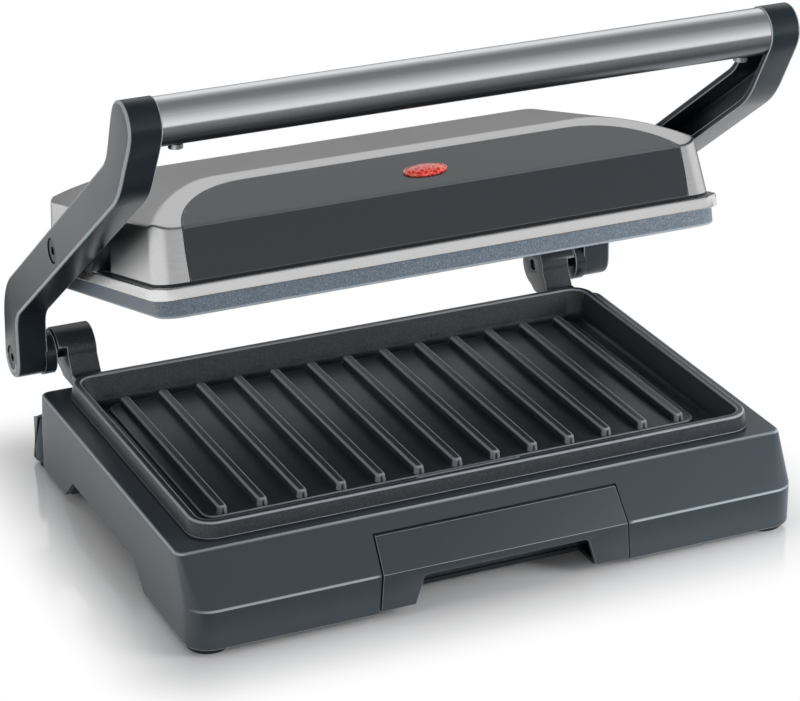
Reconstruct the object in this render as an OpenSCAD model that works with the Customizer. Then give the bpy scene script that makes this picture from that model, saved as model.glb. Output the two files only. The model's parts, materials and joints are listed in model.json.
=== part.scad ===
// Compact contact grill with two ribbed plates, shown with its lid raised to the stop.
// X runs to the right, Y from the front to the back, Z up. The table is at z = 0.
// Positions in depth are measured from the fascia of the base and centred at the end.

/* [Cooking plates] */
// Width of the lower plate over the top of its rim
plate_w = 240; // [224:1:256]
// Depth of the lower plate over the top of its rim
plate_d = 148; // [140:1:156]
// Corner radius of both plates
plate_r = 9.5; // [8:0.5:11]
// Thickness of the cast floor of both plates
plate_t = 3; // [2.4:0.1:3.4]
// Height of the lower rim above the deck
rim_h = 7.3; // [6:0.1:9]
// Thickness of the rims at their edge
rim_t = 3; // [2.4:0.1:3.6]
// Depth of the drain channel below the deck
channel_depth = 4.1; // [3:0.1:4.5]
// Width of the drain channel along the rim
channel_w = 6; // [4:0.5:7]
// Step from the channel up to the floor between the ribs
floor_step = 1.4; // [1:0.1:2]
// Number of ribs on each plate
rib_count = 13; // [9:2:13]
// Distance from rib to rib
rib_pitch = 16.7; // [14:0.1:16.8]
// Width of a rib at its foot
rib_w = 4.6; // [3.4:0.1:5.4]
// Height of a rib above the floor
rib_h = 3.3; // [2.5:0.1:4]
// Half width of the drain hole behind the front rim
drain_hw = 20; // [14:1:24]

/* [Base] */
// Height of the deck above the table
deck_z = 37.9; // [37:0.1:40]
// Height of the crease across the front
crease_z = 19.3; // [17:0.1:21]
// Depth that the front slope takes from the crease to the deck
slope_d = 15.1; // [13:0.1:16]
// Deck left free beside the plate's rim
deck_side = 10.5; // [9.5:0.1:13]
// Wall of the base housing
wall = 2.4; // [2:0.1:2.8]
// Corner radius at the foot of the front
foot_r = 10; // [8:0.5:12]
// Corner radius at the deck
deck_r = 3; // [2.5:0.5:5]
// Height of the rubber feet
feet_h = 3; // [2:0.5:4]
// Radius of the rubber feet
feet_r = 8.5; // [7:0.5:9]
// Height of the side arches above the table
arch_z = 13.2; // [11:0.1:15]
// Thickness of the bottom cover
cover_t = 1.8; // [1.4:0.1:2.2]

/* [Drip tray] */
// Width of the tray's front at its foot
tray_w = 107; // [98:1:110]
// Height of the tray front's top edge
tray_top = 31.5; // [30:0.1:32.5]
// Height of the finger notch above the table
notch_z = 16.2; // [14:0.1:17]
// Half width of the finger notch at its foot
notch_hw = 39.3; // [34:0.1:41]
// Depth of the tray behind its front
tray_d = 118; // [100:1:122]
// Wall of the tray
tray_t = 1.8; // [1.5:0.1:2.2]

/* [Arms and handle] */
// Height of the hinge above the table
hinge_z = 50.5; // [49:0.1:53]
// Distance from the hinge back to front of the plate's rear rim
hinge_back = 17.3; // [16:0.1:19]
// Width of an arm seen from the side
arm_w = 16.2; // [15:0.1:18]
// Thickness of an arm from its inner to its outer face
arm_t = 13; // [11:0.5:15]
// Wall of the channel in an arm
arm_wall = 2.4; // [2:0.1:3]
// Length of the upright stretch from the hinge to the knee
knee_h = 25.5; // [24:0.5:28]
// Rise of the long stretch above the horizontal
reach_angle = 36.4; // [34:0.1:38]
// Length of the long stretch from the knee to the elbow
reach = 168.6; // [162:0.1:176]
// Rise of the handle end above the horizontal
head_angle = 65.1; // [60:0.1:70]
// Length of the handle end
head_len = 27.1; // [25:0.1:30]
// Bend radius of the knee on the centre line
knee_r = 20; // [14:1:22]
// Bend radius of the elbow on the centre line
elbow_r = 30; // [24:1:36]
// Diameter of the handle tube
tube_d = 18.3; // [17:0.1:19]
// Wall of the handle tube
tube_t = 1.2; // [1:0.1:1.6]
// Diameter of the screw recesses in the arms
recess_d = 10.4; // [10:0.1:11]

/* [Lid] */
// Front-up tilt of the lid when it is raised
lid_tilt = 15.2; // [12:0.1:18]
// Distance from the knee to the lid's pivot along the arm
pivot_run = 75.9; // [72:0.1:80]
// Distance from the lid's pivot to the rear edge of the lid
pivot_back = 77.1; // [75:0.1:78]
// Height of the lid's pivot above the lower edge of the bright band
pivot_up = 16.3; // [15:0.1:18]
// Height of the bright band
band_h = 4.9; // [4:0.1:6]
// Height of the crease above the band's lower edge
lid_crease = 26.2; // [25:0.1:28]
// Height of the lid's top above the band's lower edge
lid_top = 39.6; // [38:0.1:42]
// Depth of the upper plate's rim below the band
upper_rim = 7.1; // [6:0.1:9]
// Thickness of the steel lid
sheet = 0.9; // [0.7:0.1:1.2]
// Thickness of the plastic front panel
panel_t = 2.2; // [1.8:0.1:2.6]
// Half width of the front panel
panel_hw = 106.5; // [100:0.5:108]

/* [Fits] */
// Radial clearance of the running fits
run_fit = 0.05; // [0.03:0.01:0.08]
// Clearance between parts that slide or sit beside each other
slip = 0.3; // [0.2:0.05:0.4]

/* [Hidden] */
$fn = 64;
hull_fn = 32;
far = 400;
skin = 0.01;
lap = 0.05;
// How far ribs and bosses reach into what carries them
root = 0.5;
rib_edge = 0.6;
rib_draft = 0.4;

// Base in plan: x is measured from the centre, y from the fascia
base_hw = plate_w / 2 + deck_side;
base_z = feet_h;
lean = atan2(slope_d, deck_z - crease_z);
plate_y0 = slope_d + 5.4;
plate_y1 = plate_y0 + plate_d;
rim_flare = 1.4;
foot_z = deck_z + 0.9;
rim_z = deck_z + rim_h;
rear_deck_y = plate_y1 + 5.5;
rear_rake = 23;
rear_wall_y = rear_deck_y + (deck_z - crease_z) * tan(rear_rake);

// Hinge, arms and the lid's pivot, as seen from the side
hinge = [plate_y1 + hinge_back, hinge_z];
knee = hinge + [-0.5, knee_h];
reach_dir = [-cos(reach_angle), sin(reach_angle)];
elbow = knee + reach * reach_dir;
grip = elbow + head_len * [-cos(head_angle), sin(head_angle)];
arm_path = [hinge, knee, elbow, grip];
arm_bends = [0, knee_r, elbow_r, 0];
pivot = knee + pivot_run * reach_dir;
arm_in = plate_w / 2 + 5.2;
arm_out = arm_in + arm_t;
hub_r = 8.6;
head_r = tube_d / 2 + 0.45;

// Ledge behind the base
ledge_foot_y = hinge[0] + 8;
ledge_top_z = 21.6;
ledge_rake = 16.2;
ledge_r = 8;

// Deck opening, kept inside the plate's foot
seat_w = 3.8;
open_hw = plate_w / 2 + rim_flare - seat_w;
open_y0 = plate_y0 - rim_flare + seat_w;
open_y1 = plate_y1 + rim_flare - seat_w;
basin_fit = 0.5;
basin_hw = open_hw - basin_fit;
basin_y = [open_y0 + basin_fit, open_y1 - basin_fit];
floor_y = [open_y0 + 20, open_y1 - plate_t - channel_w];

// Heights inside the base
channel_z = deck_z - channel_depth;
floor_z = channel_z + floor_step;
under_z = channel_z - plate_t;
element_d = 6.5;
shield_t = 0.8;
saddle_h = 2.2;
element_z = under_z - saddle_h;
shield_z = element_z - element_d / 2 - 0.15;
tab_t = 2.4;
tab_z = shield_z - shield_t - tab_t;
cover_z = base_z + cover_t;

// Fixing points of the plates, shared by bosses, shields, tabs and screws
boss_r = 4.5;
plate_fix_x = plate_w / 2 - 15;
plate_fix_y = [plate_y0 + 37, plate_y1 - 37];
element_x = plate_w / 2 - 32;
element_y = [plate_y0 + 27.5, plate_y1 - 28.5];
element_bend = 12;
element_gap = 16;
shield_hw = plate_w / 2 - 8;
shield_y = [plate_y0 + 17.5, plate_y1 - 10.5];
cover_fix_x = base_hw - 8.5;
arch_y = [53, 63.3, plate_y1 - 33, plate_y1 - 21.8];
cover_fix_y = [34, arch_y[3] + 10];
feet_x = base_hw - 10;
feet_y = [11, ledge_foot_y - 12];

// Tray and its tunnel
tray_proud = 0.4;
tray_gap = 0.45;
tray_foot_z = base_z + 1.2;
tray_hw = tray_w / 2 - 2;
tray_y0 = 16;
tray_z0 = cover_z + 0.1;
tray_z1 = tab_z - 1.2;
guide_t = 1.5;
tunnel_hw = tray_w / 2 + 4.5;
spout_z = tray_z1 + 1;
drain_y = [plate_y0 + 5.4, plate_y0 + 12.4];

// Hinge lugs on the plate and hubs on the arms
lug_x = [plate_w / 2 - 16, plate_w / 2 - 3.2];
lug_r = 9.8;
lug_seat_y = plate_y1 + 3.5;
lug_seat_z = rim_z - 1.2;
collar_x = arm_in - 4.2;
collar_r = 9.3;
lug_tooth_x = collar_x - 0.6;
hub_tooth_x = collar_x - 2;
stop_angle = 155;
stop_gap = 0.4;
hinge_shaft_d = 7;
hinge_thread_d = 5;
tooth_r = hinge_shaft_d / 2 + 0.6;
pivot_shaft_d = 6;
recess_depth = 3.2;
washer_t = 0.6;
spigot_len = 22;
handle_screw_x = arm_in - 8;

// Lid, in its own frame: y from the band's front edge, z from its lower edge
lid_hw = plate_w / 2 + 1.2;
lid_d = plate_d + 1;
lid_r = plate_r + 0.5;
pivot_y = lid_d - pivot_back;
frame_z = band_h + 0.9;
shell_in = 2.4;
shell_front = 3.5;
shell_rear = lid_d - shell_front + 0.5;
side_draft = 5;
front_draft = 8;
rear_draft = 4;
slope_y = 39.9;
end_r = 72;
end_x = lid_hw - 44.2;
rear_flat_y = lid_d - 57;
rear_r = 118;
crown = 0.03;
front_slope = atan2(lid_top - lid_crease, slope_y - shell_front - 2.9);
lid_boss_r = 10.75;
lid_boss_x = arm_in - slip;
upper_in = 1.84;
upper_floor = -1;
upper_back = upper_floor + plate_t;
upper_element_z = upper_back + saddle_h;
upper_shield_z = upper_element_z + element_d / 2 + 0.15;
upper_tab_z = upper_shield_z + shield_t;
lid_plate_y = [upper_in, lid_d - upper_in];
lid_fix_y = [lid_plate_y[0] + 37, lid_plate_y[1] - 37];
lens_y = 18.4;
lens_w = 18.5;
lens_h = 9;
panel_gap = 0.25;
panel_y = 33.5;
panel_r = 37;

// Middle of the model from front to back, used as the origin
lid_rear = pivot[0] + (lid_d - shell_front - 1 - pivot_y) * cos(lid_tilt)
    + (lid_crease + 0.8 - pivot_up) * sin(lid_tilt);
mid_y = (lid_rear - tray_proud) / 2;

slate = [0.29, 0.32, 0.35];
dark = [0.13, 0.14, 0.15];
coated = [0.24, 0.27, 0.3];
steel = [0.7, 0.7, 0.7];
bright = [0.86, 0.86, 0.86];
zinc = [0.6, 0.62, 0.62];

// Placing

// Puts a piece drawn from the fascia into the model's own frame
module home() translate([0, -mid_y, 0]) children();

// Puts a piece drawn in the lid's frame where the raised lid is
module on_lid() home() translate([0, pivot[0], pivot[1]]) rotate([-lid_tilt, 0, 0])
    translate([0, -pivot_y, -pivot_up]) children();

// The same piece on the right and, mirrored, on the left
module both_sides() {
    children();
    mirror([1, 0, 0]) children();
}

// Extrudes a side view, drawn as (y, z), from x0 to x1
module across(x0, x1) translate([x0, 0, 0]) rotate([90, 0, 90]) linear_extrude(x1 - x0) children();

// Extrudes a front view, drawn as (x, z), from y0 to y1
module facing(y0, y1) translate([0, y1, 0]) rotate([90, 0, 0]) linear_extrude(y1 - y0) children();

// Plan and edge shapes

// Rectangle with round corners, symmetric about x = 0
module rounded(hw, y0, y1, r) {
    translate([-hw, y0 + r]) square([2 * hw, y1 - y0 - 2 * r]);
    translate([r - hw, y0]) square([2 * (hw - r), y1 - y0]);
    for (x = [r - hw, hw - r], y = [y0 + r, y1 - r]) translate([x, y]) circle(r);
}

// Four thin corner posts, the raw material of a lofted box
module corners(hw, y0, y1, r0, r1, z)
    for (x = [-1, 1]) {
        translate([x * (hw - r0), y0 + r0, z]) cylinder(r = r0, h = skin, $fn = hull_fn);
        translate([x * (hw - r1), y1 - r1, z]) cylinder(r = r1, h = skin, $fn = hull_fn);
    }

// Half plane below the line through p at angle a, moved inwards by inset
module below(p, a, inset = 0) translate(p) rotate(a)
    translate([-far, -far - inset]) square([2 * far, far]);

// Part of a disc between two angles, less than a full turn
module sector(r0, r1, a0, a1) intersection() {
    difference() {
        circle(r1);
        circle(r0);
    }
    polygon([[0, 0], for (k = [0:4]) let (a = a0 + (a1 - a0) * k / 4) 2 * r1 * [cos(a), sin(a)]]);
}

// Paths with rounded corners

function unit(v) = v / norm(v);
function left_of(v) = [-v[1], v[0]];
function heading(v) = atan2(v[1], v[0]);
// Change of heading at corner i, positive to the left
function turn(path, i) = let (a = unit(path[i] - path[i - 1]), b = unit(path[i + 1] - path[i]))
    atan2(a[0] * b[1] - a[1] * b[0], a * b);
// Length that the bend at point i takes off the straight runs beside it
function trim(path, bends, i) = i == 0 || i == len(path) - 1 ? 0 : bends[i] * tan(abs(turn(path, i)) / 2);
// Start and length of run i once its bends are taken off
function run_start(path, bends, i) = path[i] + trim(path, bends, i) * unit(path[i + 1] - path[i]);
function run_length(path, bends, i) =
    norm(path[i + 1] - path[i]) - trim(path, bends, i) - trim(path, bends, i + 1);
// Centre of the bend at corner i
function bend_centre(path, bends, i) = let (d = unit(path[i] - path[i - 1]))
    path[i] - trim(path, bends, i) * d + sign(turn(path, i)) * bends[i] * left_of(d);
// Smaller of the two angles between which the bend at corner i lies
function bend_angle(path, i) =
    heading(path[i] - path[i - 1]) + (turn(path, i) > 0 ? -90 : 90 + turn(path, i));

// Flat strip of width w along a path; its straight runs reach a hair into the bends
module strip(path, bends, w) {
    for (i = [0:len(path) - 2])
        translate(run_start(path, bends, i)) rotate(heading(path[i + 1] - path[i]))
            translate([-lap, -w / 2]) square([run_length(path, bends, i) + 2 * lap, w]);
    for (i = [1:len(path) - 2])
        translate(bend_centre(path, bends, i))
            sector(bends[i] - w / 2, bends[i] + w / 2, bend_angle(path, i),
                bend_angle(path, i) + abs(turn(path, i)));
}

// Round rod of diameter d along a path in the XY plane
module rod(path, bends, d) {
    for (i = [0:len(path) - 2])
        translate(run_start(path, bends, i)) rotate(heading(path[i + 1] - path[i]))
            rotate([0, 90, 0]) cylinder(d = d, h = run_length(path, bends, i));
    for (i = [1:len(path) - 2])
        translate(bend_centre(path, bends, i)) rotate(bend_angle(path, i))
            rotate_extrude(angle = abs(turn(path, i))) translate([bends[i], 0]) circle(d = d);
}

// Screw with its head's underside at z = 0 and its shank pointing down
module screw(head_d, head_h, shank_d, shank_len) {
    difference() {
        cylinder(d = head_d, h = head_h);
        translate([0, 0, head_h / 2]) cylinder(d = head_d / 2.4, h = head_h, $fn = 6);
    }
    translate([0, 0, -shank_len]) cylinder(d = shank_d, h = shank_len);
}

// Base

// Front of the base at height z, inset from its outer face
function front_y(z, inset = 0) = inset + max(0, z - crease_z + inset * tan(lean / 2)) * tan(lean);
function inner_crease(inset) = crease_z - inset * tan(lean / 2);

// Body of the base: upright below the crease, lofted back to the sharper deck above it
module housing_form(inset) {
    foot = inset > 0 ? base_z - 1 : base_z;
    translate([0, 0, foot]) linear_extrude(inner_crease(inset) - foot)
        rounded(base_hw - inset, inset, rear_wall_y - inset, foot_r - inset);
    hull() {
        corners(base_hw - inset, inset, rear_wall_y - inset, foot_r - inset, foot_r - inset,
            inner_crease(inset) - skin);
        corners(base_hw - inset, front_y(deck_z - inset, inset), rear_deck_y - inset,
            max(deck_r - inset, 0.5), max(deck_r - inset, 0.5), deck_z - inset - skin);
    }
}

// Ledge behind the base, seen from the side
module ledge_side(inset) intersection() {
    translate([rear_deck_y - 20, inset > 0 ? base_z - 1 : base_z]) square([80, 40]);
    below([ledge_foot_y, base_z], ledge_rake - 90, inset);
    below([ledge_foot_y - 6, ledge_top_z], -17.4, inset);
}

module ledge_form(inset) intersection() {
    across(-base_hw + inset, base_hw - inset) ledge_side(inset);
    linear_extrude(far) rounded(base_hw - inset, ledge_r, ledge_foot_y - inset, ledge_r - inset);
}

// Arch in both side walls, grown for the cover's roof
module arch_side(grow, z0) polygon([
    [arch_y[0] - grow, z0], [arch_y[1] - grow, arch_z + grow],
    [arch_y[2] + grow, arch_z + grow], [arch_y[3] + grow, z0]
]);

// Right edge of the tray's front, from its foot to its top
tray_edge = [[tray_w / 2, tray_foot_z], [tray_w / 2 - 1, crease_z], [tray_w / 2 - 1.7, tray_top]];

// Front of the tray seen from ahead, grown for the mouth in the housing
module tray_outline(grow) polygon([
    for (s = [1, -1], k = [0:2])
        let (p = tray_edge[s > 0 ? k : 2 - k])
        [s * (p[0] + grow), p[1] + (p[1] > crease_z ? grow : p[1] < crease_z ? -grow : 0)]
]);

module base_housing() color(slate) home() difference() {
    union() {
        difference() {
            union() {
                housing_form(0);
                ledge_form(0);
            }
            housing_form(wall);
            ledge_form(wall);
        }
        both_sides() {
            for (y = cover_fix_y) translate([cover_fix_x, y, cover_z])
                cylinder(r = boss_r, h = deck_z - wall / 2 - cover_z);
            for (y = plate_fix_y) translate([plate_fix_x - 2 * boss_r, y - 8, tab_z])
                cube([base_hw - wall / 2 - plate_fix_x + 2 * boss_r, 16, tab_t]);
        }
    }
    translate([0, 0, deck_z - 2 * wall]) linear_extrude(2 * wall + 1)
        rounded(open_hw, open_y0, open_y1, plate_r - 2);
    facing(-1, tray_y0 - 2) tray_outline(tray_gap);
    translate([-tray_w / 2 - tray_gap, -1, 0]) cube([tray_w + 2 * tray_gap, 2 * wall, tray_foot_z]);
    across(-base_hw - 1, base_hw + 1) arch_side(0, base_z - 1);
    both_sides() {
        for (y = cover_fix_y) translate([cover_fix_x, y, 0]) cylinder(d = 3, h = deck_z - 2 * wall);
        for (y = plate_fix_y) translate([plate_fix_x, y, 0]) cylinder(d = 4.4, h = deck_z - 2 * wall);
    }
    gland_place() translate([0, 0, -10]) cylinder(d = gland_d + 2 * run_fit, h = 20);
}

module bottom_cover() color(dark) home() difference() {
    union() {
        translate([0, 0, base_z]) linear_extrude(cover_t)
            rounded(base_hw - wall - slip, wall + slip, ledge_foot_y - wall - 2 * slip, foot_r - wall - slip);
        both_sides() {
            across(tunnel_hw - cover_t, base_hw - wall - slip) arch_side(cover_t, base_z);
            translate([tray_hw + slip, tray_y0 + 2, base_z]) cube([guide_t, tray_d - tray_y0, cover_t + 5]);
        }
        translate([-tray_hw, tray_d + 2 * slip, base_z]) cube([2 * tray_hw, guide_t, cover_t + 8]);
    }
    across(-tunnel_hw + cover_t, tunnel_hw - cover_t)
        translate([wall, cover_z]) square([tray_d + 20, 12 - cover_t]);
    both_sides() {
        across(tunnel_hw, base_hw) arch_side(0, base_z - 1);
        for (y = cover_fix_y) translate([cover_fix_x, y, 0]) cylinder(d = 3.4, h = 2 * cover_z);
        for (k = [0:5]) translate([tunnel_hw + 14 + 7 * k, arch_y[1] + 12, arch_z - 1])
            cube([3, 34, cover_t + 2]);
        for (y = feet_y) translate([feet_x, y, 0]) cylinder(r = feet_r / 3, h = 2 * cover_z);
    }
    translate([-notch_hw, 0, base_z - 1]) cube([2 * notch_hw, tray_y0 - 1, cover_t + 2]);
}

module rubber_feet() color(dark) home() both_sides()
    for (y = feet_y) translate([feet_x, y, 0]) {
        cylinder(r1 = feet_r - 0.6, r2 = feet_r, h = 0.6);
        translate([0, 0, 0.6]) cylinder(r = feet_r, h = feet_h - 0.6);
        translate([0, 0, feet_h]) cylinder(r = feet_r / 3 - run_fit, h = cover_t);
    }

module cover_screws() color(zinc) home() both_sides()
    for (y = cover_fix_y) translate([cover_fix_x, y, base_z]) mirror([0, 0, 1]) screw(6, 1.8, 2.9, 14);

// Loop of a heating element round the middle of a plate
function element_path(x, y, back) = [
    [-element_gap, back], [-element_gap, y[1]], [-x, y[1]], [-x, y[0]],
    [x, y[0]], [x, y[1]], [element_gap, y[1]], [element_gap, back]
];
element_bends = [0, element_bend, element_bend, element_bend, element_bend, element_bend, element_bend, 0];

// Ribs of a plate: y from the front to the back end, foot at z = 0, crest up
module ribs(y0, y1) for (i = [0:rib_count - 1])
    translate([(i - (rib_count - 1) / 2) * rib_pitch, 0, -root]) intersection() {
        facing(y0, y1) rib_profile();
        linear_extrude(far) rounded(rib_w / 2, y0, y1, 2 * rib_edge);
    }

// Section of a rib: drafted flanks, a flat crest and round edges
module rib_profile() {
    top = rib_w / 2 - rib_draft;
    polygon([
        [-rib_w / 2, 0], [rib_w / 2, 0], [top, rib_h + root - rib_edge], [-top, rib_h + root - rib_edge]
    ]);
    translate([rib_edge - top, 0]) square([2 * (top - rib_edge), rib_h + root]);
    for (s = [-1, 1]) translate([s * (top - rib_edge), rib_h + root - rib_edge]) circle(rib_edge, $fn = 32);
}

// Cast hinge lugs, set against pads on the plate's rear, with the teeth that stop the arms
module hinge_lugs() color(coated) home() both_sides() difference() {
    union() {
        across(lug_x[0], lug_x[1]) lug_side();
        translate([lug_x[1] - skin, hinge[0], hinge[1]]) rotate([90, 0, 90])
            linear_extrude(lug_tooth_x - lug_x[1] + skin)
                sector(tooth_r, lug_r, 25, stop_angle - stop_gap);
    }
    translate([lug_x[0] - 1, hinge[0], hinge[1]]) rotate([0, 90, 0])
        cylinder(d = hinge_thread_d + 2 * run_fit, h = 20);
}

module lug_side() {
    translate(hinge) circle(lug_r);
    polygon([
        [lug_seat_y, foot_z], hinge + [-2, foot_z - hinge[1]], hinge + [6, -7],
        hinge, hinge + [-lug_r, 0], [lug_seat_y, lug_seat_z]
    ]);
}

module lower_grill_plate() color(coated) home() difference() {
    union() {
        difference() {
            union() {
                hull() {
                    corners(plate_w / 2 + rim_flare, plate_y0 - rim_flare, plate_y1 + rim_flare,
                        plate_r, plate_r, foot_z);
                    corners(plate_w / 2, plate_y0, plate_y1, plate_r, plate_r, rim_z - skin);
                }
                translate([0, 0, deck_z]) linear_extrude(foot_z - deck_z + 1)
                    rounded(plate_w / 2 - 0.2, plate_y0 + 0.2, plate_y1 - 0.2, plate_r);
                translate([0, 0, under_z]) linear_extrude(foot_z - under_z)
                    rounded(basin_hw, basin_y[0], basin_y[1], plate_r - 2 - basin_fit);
            }
            hull() {
                corners(plate_w / 2 - rim_t, plate_y0 + rim_t, plate_y1 - rim_t,
                    plate_r - rim_t, plate_r - rim_t, rim_z + 0.1);
                corners(basin_hw - plate_t, basin_y[0] + plate_t, basin_y[1] - plate_t,
                    plate_r - rim_t, plate_r - rim_t, channel_z);
            }
        }
        translate([0, 0, channel_z - 0.5]) linear_extrude(floor_step + 0.5)
            rounded(basin_hw - plate_t - channel_w, floor_y[0], floor_y[1], plate_r - 4);
        translate([0, 0, floor_z]) ribs(floor_y[0] + 1.2, floor_y[1] - 1.5);
        translate([-drain_hw - 2.5, drain_y[1] + 1.2, channel_z - 0.5])
            cube([2 * drain_hw + 5, 2.2, rib_h + floor_step + 1.3]);
        translate([-drain_hw - 2, drain_y[0] - 2, spout_z])
            cube([2 * drain_hw + 4, drain_y[1] - drain_y[0] + 4, channel_z - 1 - spout_z]);
        both_sides() {
            for (y = plate_fix_y) translate([plate_fix_x, y, shield_z])
                cylinder(r = boss_r, h = under_z + 1 - shield_z);
            translate([lug_x[0], plate_y1 - rim_t, foot_z])
                cube([lug_x[1] - lug_x[0], lug_seat_y - plate_y1 + rim_t, lug_seat_z - foot_z]);
        }
        translate([0, 0, element_z]) linear_extrude(saddle_h + 0.5)
            strip(element_path(element_x, element_y, element_y[1] + 14), element_bends, element_d + 4);
    }
    translate([-drain_hw, drain_y[0], spout_z - 1])
        cube([2 * drain_hw, drain_y[1] - drain_y[0], channel_z - spout_z + 1.2]);
    translate([0, 0, element_z]) rod(element_path(element_x, element_y, element_y[1] + 15), element_bends,
        element_d + 2 * run_fit);
    both_sides() for (y = plate_fix_y) translate([plate_fix_x, y, shield_z - 1]) cylinder(d = 3.3, h = 6.5);
}

module lower_plate_screws() color(zinc) home() both_sides()
    for (y = plate_fix_y) translate([plate_fix_x, y, tab_z]) mirror([0, 0, 1]) screw(7.5, 2.2, 3.2, 8);

// Sheathed element with its two bare terminal pins
module element_loop(x, y, back) {
    rod(element_path(x, y, back), element_bends, element_d);
    for (s = [-1, 1]) translate([s * element_gap, back, 0]) rotate([-90, 0, 0]) cylinder(d = 2.4, h = 7);
}

module lower_heating_element() color(zinc) home() translate([0, 0, element_z])
    element_loop(element_x, element_y, element_y[1] + 14);

module lower_heat_shield() color(steel) home() difference() {
    translate([0, 0, shield_z - shield_t]) linear_extrude(shield_t)
        rounded(shield_hw, shield_y[0], shield_y[1], 6);
    both_sides() for (y = plate_fix_y) translate([plate_fix_x, y, 0]) cylinder(d = 4.4, h = deck_z);
}

// Terminal block on the cover behind the tray
block_w = 48;
block_d = 16;
block_h = 13;
block_y = arch_y[3] + 6;

module terminal_block() color([0.85, 0.83, 0.76]) home() translate([0, block_y, cover_z]) difference() {
    translate([-block_w / 2, 0, 0]) cube([block_w, block_d, block_h]);
    for (k = [-1, 0, 1]) translate([k * element_gap, 0, 0]) {
        translate([0, block_d / 2, block_h - 5]) cylinder(d = 5, h = 6);
        translate([0, -1, block_h / 2]) rotate([-90, 0, 0]) cylinder(d = 3.6, h = block_d + 2);
    }
}

// Gland for the supply in the rear face of the ledge
gland_d = 10;
gland_x = 62;
gland_z = 13;

module gland_place() translate([gland_x, ledge_foot_y - (gland_z - base_z) * tan(ledge_rake), gland_z])
    rotate([-90 + ledge_rake, 0, 0]) children();

module cord_gland() color(dark) home() gland_place() difference() {
    union() {
        cylinder(d = gland_d + 4, h = 1.6);
        translate([0, 0, -wall - 3]) cylinder(d = gland_d, h = wall + 3);
        translate([0, 0, -wall - 2.4]) cylinder(d = gland_d + 3, h = 2.2);
    }
    translate([0, 0, -10]) cylinder(d = 7, h = 20);
}

// Leads from the block up to the element, and the sleeve that goes on to the left hinge
lead_d = 3;
sleeve_d = 4;

module base_wiring() color([0.75, 0.72, 0.66]) home() {
    for (s = [-1, 1]) translate([s * element_gap, 0, 0]) rotate([90, 0, 90])
        rod([[element_y[1] + 14 + 7, element_z], [block_y + block_d + 5, element_z],
            [block_y + block_d + 5, cover_z + block_h / 2], [block_y + block_d - 1, cover_z + block_h / 2]],
            [0, 4, 4, 0], lead_d);
    translate([0, 0, cover_z + block_h / 2])
        rod([[0, block_y + block_d], [0, block_y + block_d + 9], [-lug_x[0], block_y + block_d + 9]],
            [0, 6, 0], sleeve_d);
}

// Shoulder screws of the hinge, one on each side, heads in the arms' recesses
module hinge_screws() color(zinc) home() both_sides()
    translate([arm_out - recess_depth + washer_t, hinge[0], hinge[1]]) rotate([0, 90, 0]) {
        screw(recess_d - 1.2, 2.2, hinge_shaft_d, arm_out - recess_depth + washer_t - lug_x[1]);
        translate([0, 0, -(arm_out - recess_depth + washer_t - lug_x[0] - 1)])
            cylinder(d = hinge_thread_d, h = 15);
    }

// Washers under the heads of the hinge and pivot screws
module washers(at, shaft_d) both_sides()
    translate([arm_out - recess_depth + 0.05, at[0], at[1]]) rotate([0, 90, 0]) difference() {
        cylinder(d = recess_d - 0.6, h = washer_t - 0.05);
        translate([0, 0, -1]) cylinder(d = shaft_d + 2 * run_fit, h = 3);
    }

module hinge_washers() color(zinc) home() washers(hinge, hinge_shaft_d);

// Drip tray: its front is a piece of the fascia and slope, standing slightly proud
module drip_tray() color(slate) home() difference() {
    union() {
        intersection() {
            facing(-5, tray_y0 + 1) tray_outline(0);
            across(-tray_w, tray_w) difference() {
                tray_front_side(-tray_proud);
                tray_front_side(wall - tray_proud);
            }
        }
        intersection() {
            facing(0, tray_y0 + 1) tray_outline(0);
            across(-tray_hw, tray_hw)
                translate([0, notch_z + 0.5]) square([tray_y0 + 1, tray_z1 - notch_z - 0.5]);
            across(-tray_w, tray_w) tray_front_side(0);
        }
        translate([0, 0, tray_z0]) linear_extrude(tray_z1 - tray_z0)
            rounded(tray_hw, tray_y0, tray_d, 6);
        both_sides() across(tray_hw - tray_t, tray_hw) intersection() {
            translate([0, tray_z0]) square([tray_y0 + 8, tray_z1 - tray_z0]);
            tray_front_side(0);
        }
    }
    translate([0, 0, tray_z0 + tray_t]) linear_extrude(deck_z)
        rounded(tray_hw - tray_t, tray_y0 + tray_t, tray_d - tray_t, 6 - tray_t);
    facing(-5, wall + 2) notch_outline();
}

// Everything behind the front line of the base, seen from the side
module tray_front_side(inset) polygon([
    [inset, base_z - 1], [inset, inner_crease(inset)], [front_y(deck_z, inset), deck_z],
    [60, deck_z], [60, base_z - 1]
]);

// Finger notch seen from ahead, with rounded upper corners
module notch_outline() {
    top_hw = notch_hw - 3.3;
    corner = 2.5;
    polygon([
        [-notch_hw - 0.5, base_z - 1], [notch_hw + 0.5, base_z - 1],
        [top_hw, notch_z - corner], [-top_hw, notch_z - corner]
    ]);
    translate([-top_hw + corner, notch_z - 2 * corner]) square([2 * (top_hw - corner), 2 * corner]);
    for (s = [-1, 1]) translate([s * (top_hw - corner), notch_z - corner]) circle(corner);
}

// Arms

// Side view of an arm, or of its channel when it is drawn narrower
module arm_side(inset) {
    strip(arm_path, arm_bends, arm_w - 2 * inset);
    translate(hinge) circle(hub_r - inset);
    translate(grip) circle(head_r - inset);
}

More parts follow.
